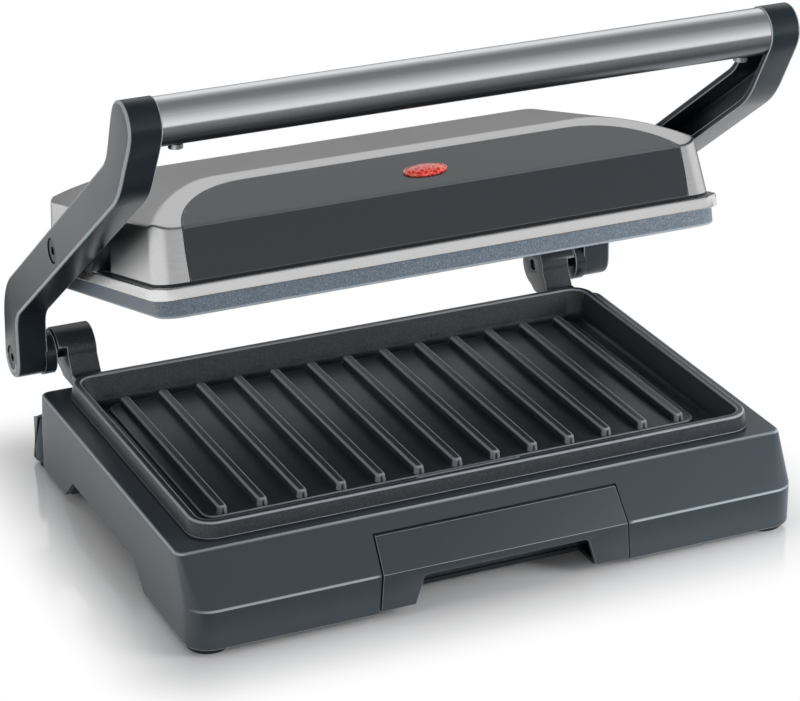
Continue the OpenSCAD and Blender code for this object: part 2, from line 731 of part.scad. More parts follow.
// The right arm: a channel open to the inside, solid at its hub, pivot and head
module arm() difference() {
    union() {
        difference() {
            across(arm_in, arm_out) arm_side(0);
            across(arm_in - 1, arm_out - arm_wall) arm_side(arm_wall);
        }
        intersection() {
            across(arm_in, arm_out - 1) arm_side(skin);
            across(arm_in, arm_out) {
                translate(hinge) circle(hub_r);
                translate(grip) circle(head_r + 2);
                translate(pivot) circle(recess_d / 2 + 1.6);
            }
        }
        translate([0, hinge[0], hinge[1]]) rotate([90, 0, 90]) {
            translate([0, 0, collar_x]) cylinder(r = collar_r, h = arm_in - collar_x + 1);
            translate([0, 0, hub_tooth_x]) linear_extrude(collar_x - hub_tooth_x + skin)
                sector(tooth_r, collar_r, stop_angle, stop_angle + 120);
        }
        translate([arm_in - spigot_len, grip[0], grip[1]]) rotate([0, 90, 0])
            cylinder(d = tube_d - 2 * tube_t - 2 * run_fit, h = spigot_len + 1);
    }
    arm_bore(hinge, hinge_shaft_d);
    arm_bore(pivot, pivot_shaft_d);
    translate([handle_screw_x, grip[0], grip[1] - tube_d]) cylinder(d = 2.9, h = tube_d);
}

// Through bore with a recess for the screw's head
module arm_bore(at, shaft_d) translate([0, at[0], at[1]]) rotate([0, 90, 0]) {
    cylinder(d = shaft_d + 2 * run_fit, h = arm_out + 1);
    translate([0, 0, arm_out - recess_depth]) cylinder(d = recess_d, h = recess_depth + 1);
}

module right_arm() color(dark) home() arm();
module left_arm() color(dark) home() mirror([1, 0, 0]) arm();

module handle_tube() color(bright) home() translate([0, grip[0], grip[1]]) difference() {
    rotate([0, 90, 0]) difference() {
        cylinder(d = tube_d, h = 2 * arm_in, center = true);
        cylinder(d = tube_d - 2 * tube_t, h = 2 * arm_in + 2, center = true);
    }
    for (s = [-1, 1]) translate([s * handle_screw_x, 0, -tube_d]) cylinder(d = 3.2, h = tube_d);
}

module handle_screws() color(zinc) home() both_sides()
    translate([handle_screw_x, grip[0], grip[1] - tube_d / 2]) mirror([0, 0, 1]) screw(5.6, 1.8, 2.8, 8);

// Sleeve of the lid's supply, lying on the web of the left arm's channel
arm_lead_d = 4.2;

module arm_lead() color([0.2, 0.2, 0.2]) home() mirror([1, 0, 0])
    translate([arm_out - arm_wall - arm_lead_d / 2, 0, 0]) rotate([90, 0, 90])
        rod([hinge + [0, hub_r + 0.3], knee, knee + (pivot_run - recess_d / 2 - 2.2) * reach_dir],
            [0, knee_r, 0], arm_lead_d);

// Lid

// Outer form of the steel lid, or its inside when inset: a plan, an end view and a side view in one
module lid_form(inset) intersection() {
    translate([0, 0, inset > 0 ? frame_z - 1 : frame_z]) linear_extrude(far)
        rounded(lid_hw - shell_in - inset, shell_front + inset, shell_rear - inset, lid_r - inset);
    facing(-1, lid_d + 1) lid_end(inset);
    across(-lid_hw, lid_hw) lid_side(inset);
}

// End view: drafted walls and a roof that rounds off towards them
module lid_end(inset) intersection() {
    below([lid_hw - shell_in, frame_z], side_draft - 90, inset);
    mirror([1, 0]) below([lid_hw - shell_in, frame_z], side_draft - 90, inset);
    union() {
        translate([-end_x, frame_z - 3]) square([2 * end_x, lid_top - inset - frame_z + 3]);
        for (s = [-1, 1]) translate([s * end_x, lid_top - end_r]) circle(end_r + crown - inset, $fn = 180);
    }
}

// Side view: drafted front, straight slope, flat top and a roof that falls to the rear
module lid_side(inset) intersection() {
    below([shell_front, frame_z], 90 - front_draft, inset);
    below([shell_front + 2.9, lid_crease], front_slope, inset);
    below([shell_rear, frame_z], rear_draft - 90, inset);
    union() {
        translate([-5, frame_z - 3]) square([rear_flat_y + 5, lid_top - inset - frame_z + 3]);
        translate([rear_flat_y, lid_top - rear_r]) circle(rear_r + crown - inset, $fn = 180);
    }
}

// Plan of the front panel: straight at the back, round towards the ends
module panel_plan(grow) intersection() {
    translate([-panel_hw - grow, -5]) square([2 * (panel_hw + grow), panel_y + grow + 5]);
    union() {
        translate([-panel_hw + panel_r, -5]) square([2 * (panel_hw - panel_r), panel_y + grow + 5]);
        for (s = [-1, 1]) translate([s * (panel_hw + 1 - panel_r), panel_y - panel_r])
            circle(panel_r + grow, $fn = 120);
        translate([-panel_hw - grow, -5]) square([2 * (panel_hw + grow), 5 + shell_front]);
    }
}

// Slot in the shell for a pivot boss, open downwards so that the shell drops on
module boss_slot(r) across(-lid_hw, lid_hw) {
    translate([pivot_y, pivot_up]) circle(r);
    translate([pivot_y - 0.9 * r, 0]) square([1.8 * r, pivot_up]);
}

shell_tab_x = lid_hw - shell_in - 5;
shell_tab_y = [22, lid_d - 22];
shell_tab_w = 10;

module lid_shell() color(steel) on_lid() {
    difference() {
        lid_form(0);
        lid_form(sheet);
        linear_extrude(far) panel_plan(panel_gap);
        boss_slot(lid_boss_r + slip);
    }
    both_sides() for (y = shell_tab_y) difference() {
        translate([lid_hw - shell_in - 9, y - shell_tab_w / 2, frame_z]) cube([9 - slip, shell_tab_w, sheet]);
        translate([shell_tab_x, y, 0]) cylinder(d = 2.6, h = 20);
    }
}

// Place on the front slope at distance y from the band's front edge, z along the slope's normal
module on_slope(y) translate([0, y, lid_crease + (y - shell_front - 2.9) * tan(front_slope)])
    rotate([front_slope, 0, 0]) children();

// Rounded slot as wide as w and as high as h
module oval(w, h) {
    square([w - h, h], center = true);
    for (s = [-1, 1]) translate([s * (w - h) / 2, 0]) circle(d = h);
}

post_x = 62;
post_y = 10.5;

module lid_front_panel() color(slate) on_lid() difference() {
    union() {
        intersection() {
            difference() {
                lid_form(0);
                lid_form(panel_t);
            }
            linear_extrude(far) panel_plan(0);
        }
        intersection() {
            both_sides() translate([post_x, post_y, frame_z]) cylinder(d = 6.5, h = far);
            lid_form(panel_t / 2);
        }
    }
    both_sides() translate([post_x, post_y, 0]) cylinder(d = 2.8, h = frame_z + 12);
    on_slope(lens_y) translate([0, 0, -10]) linear_extrude(20) oval(lens_w - 3, lens_h - 3);
}

module lid_skirt() color(bright) on_lid() difference() {
    linear_extrude(band_h) rounded(lid_hw, 0, lid_d, lid_r);
    translate([0, 0, -1]) linear_extrude(band_h)
        rounded(lid_hw - shell_in, shell_in, lid_d - shell_in, lid_r - shell_in);
    linear_extrude(far) rounded(lid_hw - 8, 8, lid_d - 8, lid_r - 5);
    both_sides() for (y = shell_tab_y) translate([shell_tab_x, y, 0]) cylinder(d = 3.2, h = far);
}

// Plastic frame between the band and the shell: lip, upstand, pivot bosses and plate tabs
module lid_frame() color(dark) on_lid() difference() {
    union() {
        difference() {
            union() {
                translate([0, 0, band_h]) linear_extrude(frame_z - band_h)
                    rounded(lid_hw - 2.9, 2.9, lid_d - 2.9, lid_r - 1);
                translate([0, 0, band_h]) linear_extrude(upper_tab_z + tab_t - band_h)
                    rounded(lid_hw - 7, 15.5, lid_d - 7, lid_r - 4);
            }
            linear_extrude(far) rounded(lid_hw - 9, 17.5, lid_d - 9, lid_r - 6);
        }
        both_sides() {
            across(lid_hw - 10, lid_boss_x) translate([pivot_y, pivot_up]) circle(lid_boss_r);
            across(lid_hw - 10, lid_hw - 7.5) translate([pivot_y - 0.9 * lid_boss_r, band_h])
                square([1.8 * lid_boss_r, pivot_up - band_h]);
            for (y = lid_fix_y) translate([plate_fix_x - 2 * boss_r, y - 8, upper_tab_z])
                cube([lid_hw - 8 - plate_fix_x + 2 * boss_r, 16, tab_t]);
            for (y = shell_tab_y) translate([shell_tab_x - 6, y - shell_tab_w / 2 - 2, band_h])
                cube([8, shell_tab_w + 4, frame_z - band_h]);
        }
    }
    both_sides() {
        translate([arm_in - 20, pivot_y, pivot_up]) rotate([0, 90, 0]) cylinder(d = 4 + 2 * run_fit, h = 30);
        for (y = lid_fix_y) translate([plate_fix_x, y, 0]) cylinder(d = 4.4, h = 40);
        for (y = shell_tab_y) {
            translate([shell_tab_x, y, 0]) cylinder(d = 3.2, h = frame_z + 0.5);
            translate([lid_hw - 10, y - shell_tab_w / 2 - 1, frame_z]) cube([10, shell_tab_w + 2, far]);
        }
        translate([post_x, post_y, 0]) cylinder(d = 3.2, h = frame_z + 1);
    }
}

module upper_grill_plate() color(coated) on_lid() difference() {
    union() {
        difference() {
            union() {
                translate([0, 0, -upper_rim]) linear_extrude(upper_rim)
                    rounded(lid_hw - upper_in, lid_plate_y[0], lid_plate_y[1], plate_r);
                linear_extrude(upper_back) rounded(lid_hw - 9, 9, lid_d - 9, plate_r - 3);
            }
            translate([0, 0, -upper_rim - 1]) linear_extrude(upper_rim + 1 + upper_floor)
                rounded(lid_hw - upper_in - rim_t, lid_plate_y[0] + rim_t, lid_plate_y[1] - rim_t,
                    plate_r - rim_t);
        }
        translate([0, 0, upper_floor]) mirror([0, 0, 1])
            ribs(lid_plate_y[0] + 14, lid_plate_y[1] - 14);
        both_sides() for (y = lid_fix_y) translate([plate_fix_x, y, upper_floor + 1])
            cylinder(r = boss_r, h = upper_shield_z - upper_floor - 1);
        translate([0, 0, upper_back - 0.5]) linear_extrude(saddle_h + 0.5)
            strip(element_path(element_x, lid_element_y, lid_element_y[1] + 14), element_bends,
                element_d + 4);
    }
    translate([0, 0, upper_element_z]) rod(element_path(element_x, lid_element_y, lid_element_y[1] + 15),
        element_bends, element_d + 2 * run_fit);
    both_sides() for (y = lid_fix_y) translate([plate_fix_x, y, upper_floor + 1.5]) cylinder(d = 3.3, h = 20);
}

lid_element_y = [lid_plate_y[0] + 27.5, lid_plate_y[1] - 28.5];

module upper_plate_screws() color(zinc) on_lid() both_sides()
    for (y = lid_fix_y) translate([plate_fix_x, y, upper_tab_z + tab_t]) screw(7.5, 2.2, 3.2, 8);

module upper_heating_element() color(zinc) on_lid() translate([0, 0, upper_element_z])
    element_loop(element_x, lid_element_y, lid_element_y[1] + 14);

module upper_heat_shield() color(steel) on_lid() difference() {
    translate([0, 0, upper_shield_z]) linear_extrude(shield_t)
        rounded(shield_hw - 1.5, lid_plate_y[0] + 17.5, lid_plate_y[1] - 10.5, 6);
    both_sides() for (y = lid_fix_y) translate([plate_fix_x, y, 0]) cylinder(d = 4.4, h = 30);
}

// Screws that hold the shell's tabs and the panel's posts down on the frame
module lid_screws() color(zinc) on_lid() both_sides() {
    for (y = shell_tab_y) translate([shell_tab_x, y, frame_z + sheet]) screw(4.4, 1.6, 2.4, 4);
    translate([post_x, post_y, band_h]) mirror([0, 0, 1]) screw(4.4, 1.2, 2.6, 9);
}

stat_x = -42;
fuse_x = 42;
parts_y = lid_d / 2;

// Bimetal thermostat standing on the upper heat shield
module thermostat() color([0.2, 0.18, 0.16]) on_lid() translate([stat_x, parts_y, upper_tab_z]) {
    difference() {
        translate([-15, -4.5, 0]) cube([30, 9, 0.9]);
        for (s = [-1, 1]) translate([s * 12, 0, -1]) cylinder(d = 3, h = 3);
    }
    cylinder(d = 16, h = 6);
    translate([0, 0, 6]) cylinder(d = 11, h = 3);
    for (s = [-1, 1]) translate([-3.2, s * 8.5 - 3, 3.6]) cube([6.4, 6, 0.8]);
}

// Thermal fuse in a clip on the upper heat shield
module thermal_fuse() color(zinc) on_lid() translate([fuse_x, parts_y, upper_tab_z]) {
    translate([-5, -5, 0]) cube([10, 10, 0.8]);
    translate([0, 0, 2.6]) rotate([0, 90, 0]) {
        cylinder(d = 4.4, h = 15, center = true);
        cylinder(d = 1.2, h = 30, center = true);
    }
}

// Clear red lens in the front slope
module indicator_lens() color([0.85, 0.12, 0.1]) on_lid() on_slope(lens_y) {
    linear_extrude(0.9) oval(lens_w, lens_h);
    translate([0, 0, 0.9]) linear_extrude(0.5) oval(lens_w - 2, lens_h - 2);
    translate([0, 0, -panel_t - 2]) linear_extrude(panel_t + 2) oval(lens_w - 3.4, lens_h - 3.4);
}

// Clip behind the lens that carries the lamp
holder_w = 18;

module lamp_holder() color(dark) on_lid() on_slope(lens_y) difference() {
    translate([-holder_w / 2, -4.5, -panel_t - 10]) cube([holder_w, 9, 10]);
    translate([0, 0, -panel_t - 3]) linear_extrude(4) oval(lens_w - 3, lens_h - 3);
    translate([0, 0, -panel_t - 6.5]) rotate([0, 90, 0]) cylinder(d = 6, h = holder_w + 2, center = true);
}

module neon_lamp() color([0.95, 0.75, 0.6]) on_lid() on_slope(lens_y)
    translate([0, 0, -panel_t - 6.5]) rotate([0, 90, 0]) {
        cylinder(d = 6 - 2 * run_fit, h = 14, center = true);
        for (s = [-1, 1]) translate([0, s * 1.2, 6]) cylinder(d = 0.8, h = 10);
    }

// Shoulder screws that the lid hangs on, fixed in its bosses
module pivot_screws() color(zinc) home() both_sides()
    translate([arm_out - recess_depth + washer_t, pivot[0], pivot[1]]) rotate([0, 90, 0]) {
        screw(recess_d - 1.2, 2.2, pivot_shaft_d, arm_out - recess_depth + washer_t - lid_boss_x);
        translate([0, 0, -(arm_out - recess_depth + washer_t - lid_boss_x + 10)]) cylinder(d = 4, h = 12);
    }

module pivot_washers() color(zinc) home() washers(pivot, pivot_shaft_d);

// Leads from the left pivot past the thermostat and fuse to the element
module lid_wiring() color([0.75, 0.72, 0.66]) on_lid() {
    z = upper_tab_z + lead_d / 2 + 3;
    translate([0, 0, z]) {
        rod([[-lid_hw + 12, pivot_y], [stat_x - 22, pivot_y], [stat_x - 22, parts_y + 12],
            [stat_x - 4, parts_y + 12]], [0, 5, 5, 0], lead_d);
        rod([[stat_x, parts_y + 12], [stat_x, parts_y + 26], [fuse_x + 24, parts_y + 26],
            [fuse_x + 24, parts_y]], [0, 5, 5, 0], lead_d);
    }
}

base_housing();
bottom_cover();
rubber_feet();
cover_screws();
lower_grill_plate();
hinge_lugs();
lower_plate_screws();
lower_heating_element();
lower_heat_shield();
terminal_block();
cord_gland();
base_wiring();
hinge_screws();
hinge_washers();
drip_tray();
left_arm();
right_arm();
handle_tube();
handle_screws();
arm_lead();
lid_shell();
lid_front_panel();
lid_skirt();
lid_frame();
upper_grill_plate();
upper_plate_screws();
upper_heating_element();
upper_heat_shield();
lid_screws();
thermostat();
thermal_fuse();
indicator_lens();
lamp_holder();
neon_lamp();
pivot_screws();
pivot_washers();
lid_wiring();
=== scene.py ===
# %% [markdown]
# # A compact contact grill, dressed for its portrait
# The engineering model gives a grill with a dark moulded base, two ribbed cast plates and a steel
# lid that hangs on two bent arms. It comes in as a fixed frame: its pieces are exact in size, but
# their edges are razor sharp and their surfaces plain. Here each visible piece gets the soft
# edges, the grain and the brushing that the real one has. Every length of the grill is in
# millimetres and is turned into metres only when a mesh is made.

# %% Load the frame
import json
import math

import bmesh
import bpy
import numpy as np
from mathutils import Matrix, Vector


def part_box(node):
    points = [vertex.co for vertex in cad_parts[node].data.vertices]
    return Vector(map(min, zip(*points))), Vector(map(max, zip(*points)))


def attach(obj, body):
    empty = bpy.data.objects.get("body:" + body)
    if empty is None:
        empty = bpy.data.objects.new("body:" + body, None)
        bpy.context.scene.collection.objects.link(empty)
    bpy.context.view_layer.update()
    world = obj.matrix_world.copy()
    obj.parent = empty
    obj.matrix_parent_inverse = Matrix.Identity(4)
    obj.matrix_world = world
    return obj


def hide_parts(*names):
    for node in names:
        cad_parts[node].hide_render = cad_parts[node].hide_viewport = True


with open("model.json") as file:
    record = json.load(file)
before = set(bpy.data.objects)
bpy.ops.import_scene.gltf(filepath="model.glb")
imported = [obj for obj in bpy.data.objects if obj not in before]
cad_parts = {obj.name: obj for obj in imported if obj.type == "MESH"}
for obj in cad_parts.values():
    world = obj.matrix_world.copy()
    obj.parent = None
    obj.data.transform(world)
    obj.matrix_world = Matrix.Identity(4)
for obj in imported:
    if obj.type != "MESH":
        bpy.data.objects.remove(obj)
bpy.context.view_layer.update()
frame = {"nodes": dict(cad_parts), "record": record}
MM = 0.001

# %% [markdown]
# ## Where things are
# The grill was drawn from the front face of its base, so depths below are counted from there. The
# lid has a frame of its own, turned about the pivot on the arms. The front face is read from the
# imported model, so the pieces drawn from it land on the engineering ones; the pivot and the
# lid's tilt are given as numbers.

# %% Measures shared by several pieces
base_lo, base_hi = [np.array(v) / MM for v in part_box("base_housing")]
FASCIA = base_lo[1]                 # depth of the base's front face
BASE_HW = base_hi[0]                # half width of the base
DECK = base_hi[2]                   # height of the deck
CREASE = 19.3                       # height of the crease across the front
SLOPE = 15.1                        # depth of the slope from the crease to the deck
LID_TILT = math.radians(15.2)


def at_home(points):
    """Points drawn from the front face of the base, moved to the model's own place."""
    return points + np.array([0.0, FASCIA, 0.0])


PIVOT = np.array([0.0, 124.2086, 121.0405])  # lid pivot, drawn from the fascia
PIVOT_IN_LID = np.array([0.0, 71.9, 16.3])   # the same point in the lid's own frame


def on_lid(points):
    """Points of the lid's own frame, turned about X by the lid's tilt and set on the pivot."""
    p = points - PIVOT_IN_LID
    c, s = math.cos(LID_TILT), math.sin(LID_TILT)
    y = p[..., 1] * c + p[..., 2] * s
    z = p[..., 2] * c - p[..., 1] * s
    return at_home(np.stack([p[..., 0], y, z], -1) + PIVOT)


# %% [markdown]
# ## The camera
# The portrait looks down on the left front corner from about 24 degrees, from well over a metre
# away. A long lens keeps the far edges nearly parallel to the near ones, as a product photographer
# would.


# %% Camera
def linked(name, data):
    """A new object with this data, at the origin of the scene."""
    thing = bpy.data.objects.new(name, data)
    bpy.context.scene.collection.objects.link(thing)
    return thing


AZIMUTH, ELEVATION = math.radians(-24.561), math.radians(24.005)
DISTANCE, LENS = 1258.73, 140.29
LOOK_AT = at_home(np.array([-4.6, 90.0, 67.74]))
backwards = np.array([math.sin(AZIMUTH) * math.cos(ELEVATION),
                      -math.cos(AZIMUTH) * math.cos(ELEVATION), math.sin(ELEVATION)])
camera = linked("camera", bpy.data.cameras.new("camera"))
camera.data.lens, camera.data.sensor_width, camera.data.sensor_fit = LENS, 36, "HORIZONTAL"
camera.data.clip_start, camera.data.clip_end = 0.05, 50
camera.location = (LOOK_AT + DISTANCE * backwards) * MM
camera.rotation_euler = (math.pi / 2 - ELEVATION, 0, AZIMUTH)
bpy.context.scene.camera = camera
print("camera at", [round(v, 3) for v in camera.location])

# %% [markdown]
# ## From numbers to a mesh
# Almost every piece here is a band of rings: a closed outline that is repeated while it moves in,
# out, up or down. That is a grid with one row for each ring and one column for each point of the
# outline, so all the faces can be written down at once.


# %% A grid of points becomes a piece
def meshed(name, points, faces):
    """A new object in the scene from points in metres and lists of corners."""
    mesh = bpy.data.meshes.new(name)
    mesh.from_pydata(points, [], faces)
    return linked(name, mesh)


def piece_from(name, grids, body, node_slot, finish=None, whole=False):
    """Makes one object from grids of points in mm, each (rings, points, 3).

    The points are those of the lid's own frame for a piece of the lid, else drawn from the front
    face of the base. Every grid closes round its outline. If whole is set it also joins its last
    ring to its first, as a frame does; else it ends in rings that have shrunk to a line or a point,
    and the doubled points there are merged. The finish is the slot's unless another is given.
    """
    verts, faces, base = [], [], 0
    for grid in grids:
        rings, count, _ = grid.shape
        i = np.arange(rings if whole else rings - 1)[:, None]
        j = np.arange(count)[None, :]
        a, b = i * count, ((i + 1) % rings) * count
        quads = np.stack([a + j, a + (j + 1) % count, b + (j + 1) % count, b + j], -1)
        faces.append(quads.reshape(-1, 4) + base)
        verts.append((on_lid if body == "lid" else at_home)(grid).reshape(-1, 3))
        base += rings * count
    piece = meshed(name, np.vstack(verts) * MM, np.vstack(faces).tolist())
    settle(piece, outward=True)
    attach(piece, body)
    piece.data.materials.append(finish or FINISH_OF[node_slot])
    return piece


# %% Merging doubled points and shading softly
def settle(piece, angle=32, merge=2e-6, outward=False):
    """Merges doubled points, drops faces without area and shades smoothly up to an angle."""
    work = bmesh.new()
    work.from_mesh(piece.data)
    bmesh.ops.remove_doubles(work, verts=work.verts, dist=merge)
    bmesh.ops.dissolve_degenerate(work, edges=work.edges, dist=1e-7)
    if outward:
        bmesh.ops.recalc_face_normals(work, faces=work.faces)
    work.to_mesh(piece.data)
    work.free()
    piece.data.shade_smooth()
    piece.data.set_sharp_from_angle(angle=math.radians(angle))


# %% [markdown]
# ### Where the edges are
# The edges of a moulding or casting catch thin lines of light, and here those lines are painted:
# the colour turns paler along the edges, a painted highlight. For a material to know where they
# are, the bend between each two faces is measured once the piece is finished: the angle between
# their normals over the distance between their middles, which is one over the radius. Each point
# keeps the strongest outward bend round it as an attribute.


# %% Bend of the surface at each point
WIDE = 1.1                          # faces wider than this aren't part of a rounded edge
FIRST_BEND = 0.35                   # share of the bend of an edge where the attribute starts


def read(items, what, width=1, kind=float):
    """One property of all items as an array, with a row for each item."""
    out = np.empty(len(items) * width, kind)
    items.foreach_get(what, out)
    return out.reshape(-1, width) if width > 1 else out


def mark_edges(piece, round_mm=1.6):
    """Writes the attribute "edge": 0 on flat and hollow places, 1 where the radius is round_mm.

    Corners of wide faces, twice the area over the length all round, are kept at 0.
    """
    mesh = piece.data
    normal, middle = read(mesh.polygons, "normal", 3), read(mesh.polygons, "center", 3)
    ends = read(mesh.edges, "vertices", 2, int)
    of_face = np.repeat(np.arange(len(normal)), read(mesh.polygons, "loop_total", kind=int))
    of_edge = read(mesh.loops, "edge_index", kind=int)
    order = np.argsort(of_edge, kind="stable")
    same = np.flatnonzero(of_edge[order][1:] == of_edge[order][:-1])
    edge, one, two = of_edge[order][same], of_face[order][same], of_face[order][same + 1]
    apart = middle[two] - middle[one]
    angle = np.arccos(np.clip((normal[one] * normal[two]).sum(1), -1, 1))
    outward = (normal[one] * apart).sum(1) < 0
    gap = np.maximum(np.linalg.norm(apart, axis=1), 1e-5)
    bent = np.where(outward, angle, 0) / gap * round_mm * MM
    at_point = np.zeros(len(mesh.vertices))
    np.maximum.at(at_point, ends[edge].ravel(), np.repeat(bent, 2))
    tips = read(mesh.vertices, "co", 3)[ends]
    length = np.linalg.norm(tips[:, 1] - tips[:, 0], axis=1)
    round_it = np.maximum(np.bincount(of_face, length[of_edge]), 1e-9)
    width = 2 * read(mesh.polygons, "area") / round_it
    of_point = read(mesh.loops, "vertex_index", kind=int)
    at_point[of_point[width[of_face] > WIDE * MM]] = 0
    layer = mesh.attributes.new("edge", "FLOAT", "POINT")
    layer.data.foreach_set("value", np.clip((at_point - FIRST_BEND) / (1 - FIRST_BEND), 0, 1))
    return float((at_point > 0.9).mean())


# %% [markdown]
# ## Soft edges
# A moulded or cast edge is never sharp: it catches a thin line of light. The profile of each piece
# is therefore drawn with sharp knots, and each knot is then replaced by a short curve. The curve
# is a parabola that leaves the line before the knot and meets the line after it.


# %% Rounding the knots of a profile
def softened(knots, cuts, steps=5, closed=False):
    """Replaces each knot k by (1-u)^2 a + 2u(1-u) k + u^2 b for u from 0 to 1.

    a and b lie on the lines to the neighbours, at the distance given in cuts.
    """
    k = np.asarray(knots, float)
    cut = np.broadcast_to(np.asarray(cuts, float), len(k))[:, None]
    before, after = np.roll(k, 1, 0), np.roll(k, -1, 0)
    if not closed:
        before[0], after[-1] = k[0], k[-1]

    def towards(other):
        step = other - k
        return k + step * np.minimum(cut / np.maximum(measure(step)[:, None], 1e-9), 0.5)

    a, b = towards(before), towards(after)
    u = np.linspace(0, 1, steps)[None, :, None]
    curve = (1 - u) ** 2 * a[:, None] + 2 * u * (1 - u) * k[:, None] + u ** 2 * b[:, None]
    return curve.reshape(-1, k.shape[1])


def measure(step):
    """Length of a step between knots; a knot may carry several pairs, and the mean one counts."""
    pairs = step[:, : step.shape[1] // 2 * 2].reshape(len(step), -1, 2)
    return np.linalg.norm(pairs, axis=2).mean(1)


# %% Rings round a box with rounded corners
def box_rings(rows, along=36, aside=24, corner=9):
    """Rings of points round rectangles with round corners, anticlockwise from above.

    Each row holds front depth, front height, half width, side height, rear depth, rear height and
    corner radius. A corner is a quarter circle whose height goes from the one side's to the other's
    with the square of the sine.
    """
    y0, zf, hw, zs, y1, zr, r = np.asarray(rows, float).T[:, :, None]
    turn = np.linspace(0, math.pi / 2, corner + 1)[None, :]
    blend = np.sin(turn) ** 2
    corners = []
    for q, (sx, yc, z0, z1) in enumerate([(1, y0 + r, zf, zs), (1, y1 - r, zs, zr),
                                          (-1, y1 - r, zr, zs), (-1, y0 + r, zs, zf)]):
        angle = turn + (q - 1) * math.pi / 2
        corners.append(np.stack([sx * (hw - r) + r * np.cos(angle), yc + r * np.sin(angle),
                                 z0 + (z1 - z0) * blend], -1))
    parts = []
    for q in range(4):
        count = (aside, along)[q % 2]
        t = np.linspace(0, 1, count + 2)[1:-1][None, :, None]
        start, end = corners[q][:, -1:], corners[(q + 1) % 4][:, :1]
        parts += [corners[q], start + (end - start) * t]
    return np.concatenate(parts, 1)


def around(hw, y0, y1, knots):
    """Rows for box_rings from knots (inset, height, corner radius) that hold on all four sides."""
    inset, z, r = np.asarray(knots, float).T
    return np.stack([y0 + inset, z, hw - inset, z, y1 - inset, z, r], -1)


# %% [markdown]
# ## Finishes
# A finish is a small tree of nodes. Written as plain arithmetic it is easier to read, so one class
# wraps a socket: adding or multiplying two of them adds the Math node that does it.


# %% Sockets that can be reckoned with
class Value:
    """A node's output with Python's operators, as a number that varies over the surface."""

    def __init__(self, nodes, socket):
        self.nodes, self.socket = nodes, socket

    def reckon(self, how, *others):
        """The Math node of that name on this value and the others."""
        return self.nodes.sum_of(how, self, *others)

    def __add__(self, other): return self.reckon("ADD", other)
    def __sub__(self, other): return self.reckon("SUBTRACT", other)
    def __mul__(self, other): return self.reckon("MULTIPLY", other)
    def __rsub__(self, other): return self.nodes.sum_of("SUBTRACT", other, self)
    __radd__ = __add__
    __rmul__ = __mul__


class Nodes:
    """A tree of nodes under construction, of a material or of the world."""

    def __init__(self, owner, output):
        owner.use_nodes = True
        self.tree = owner.node_tree
        self.output = self.tree.nodes[output]

    def feed(self, node, inputs):
        """Gives sockets their values or links."""
        for key, value in inputs.items():
            if isinstance(value, Value):
                self.tree.links.new(value.socket, node.inputs[key])
            else:
                node.inputs[key].default_value = value

    def node(self, kind, settings={}, inputs={}, out=0):
        """Any node: its type, its settings, then the numbers or links of its sockets."""
        node = self.tree.nodes.new(kind)
        for key, value in settings.items():
            if key == "stops":
                set_stops(node.color_ramp, value)
            else:
                setattr(node, key, value)
        self.feed(node, inputs)
        return Value(self, node.outputs[out])

    def sum_of(self, how, *terms):
        """The Math node of that name on values and numbers."""
        return self.node("ShaderNodeMath", {"operation": how}, dict(enumerate(terms)))

    def blend(self, factor, one, two):
        """A shader that goes from the one to the other with the factor."""
        return self.node("ShaderNodeMixShader", {}, {0: factor, 1: one, 2: two})

    def seen(self):
        """1 where the camera looks, also by way of mirrors and glass, and 0 for other light."""
        camera, mirror, through = [self.node("ShaderNodeLightPath", out=f"Is {ray} Ray")
                                   for ray in ("Camera", "Glossy", "Transmission")]
        return camera.reckon("MAXIMUM", mirror).reckon("MAXIMUM", through)


class Finish(Nodes):
    """A material under construction, with the Principled shader at its end."""

    def __init__(self, name, **constants):
        self.material = bpy.data.materials.new(name)
        super().__init__(self.material, "Material Output")
        self.shader = self.tree.nodes["Principled BSDF"]
        self.feed(self.shader, {k.replace("_", " "): v for k, v in constants.items()})

    def place(self, scale=(1, 1, 1)):
        """Object coordinates, stretched by a Mapping node."""
        where = self.node("ShaderNodeTexCoord", out="Object")
        return self.node("ShaderNodeMapping", {}, {"Vector": where, "Scale": scale})

    def noise(self, where, scale, detail=2.0, rough=0.5):
        """Noise from 0 to 1; the scale counts its waves in a metre."""
        return self.node("ShaderNodeTexNoise", {},
                         {"Vector": where, "Scale": scale, "Detail": detail, "Roughness": rough})

    def ramp(self, factor, stops):
        """A colour ramp with (position, grey or colour) stops."""
        return self.node("ShaderNodeValToRGB", {"stops": stops}, {"Fac": factor})

    def attribute(self, name):
        """A number that the mesh carries at its points."""
        return self.node("ShaderNodeAttribute", {"attribute_name": name}, out="Fac")

    def edge_highlight(self, tint, pale, most):
        """A colour that turns paler along the edges, a painted highlight, by the most given there.
        """
        return self.colours(self.attribute("edge") * most, tint, pale)

    def colours(self, factor, low, high):
        """A colour between two, by a factor from 0 to 1."""
        return self.node("ShaderNodeMix", {"data_type": "RGBA"}, {0: factor, 6: low, 7: high}, 2)

    def glow(self, colour, strength=1.0):
        """A shader that gives off light."""
        return self.node("ShaderNodeEmission", {}, {"Color": colour, "Strength": strength})

    def surface(self, colour=None, roughness=None, height=None, depth=0.0):
        """Feeds the shader: colour, roughness and, from a height and its depth in mm, the bump."""
        if colour is not None:
            self.feed(self.shader, {"Base Color": colour})
        if roughness is not None:
            self.feed(self.shader, {"Roughness": roughness})
        if height is not None:
            bump = self.node("ShaderNodeBump", {},
                             {"Strength": 1.0, "Distance": depth * MM, "Height": height})
            self.feed(self.shader, {"Normal": bump})
        return self.material


def set_stops(ramp, stops):
    """Writes (position, grey or colour) stops on a ramp."""
    while len(ramp.elements) < len(stops):
        ramp.elements.new(0.5)
    for element, (place, shade) in zip(ramp.elements, stops):
        element.position = place
        element.color = (*shade, 1) if isinstance(shade, tuple) else (shade, shade, shade, 1)


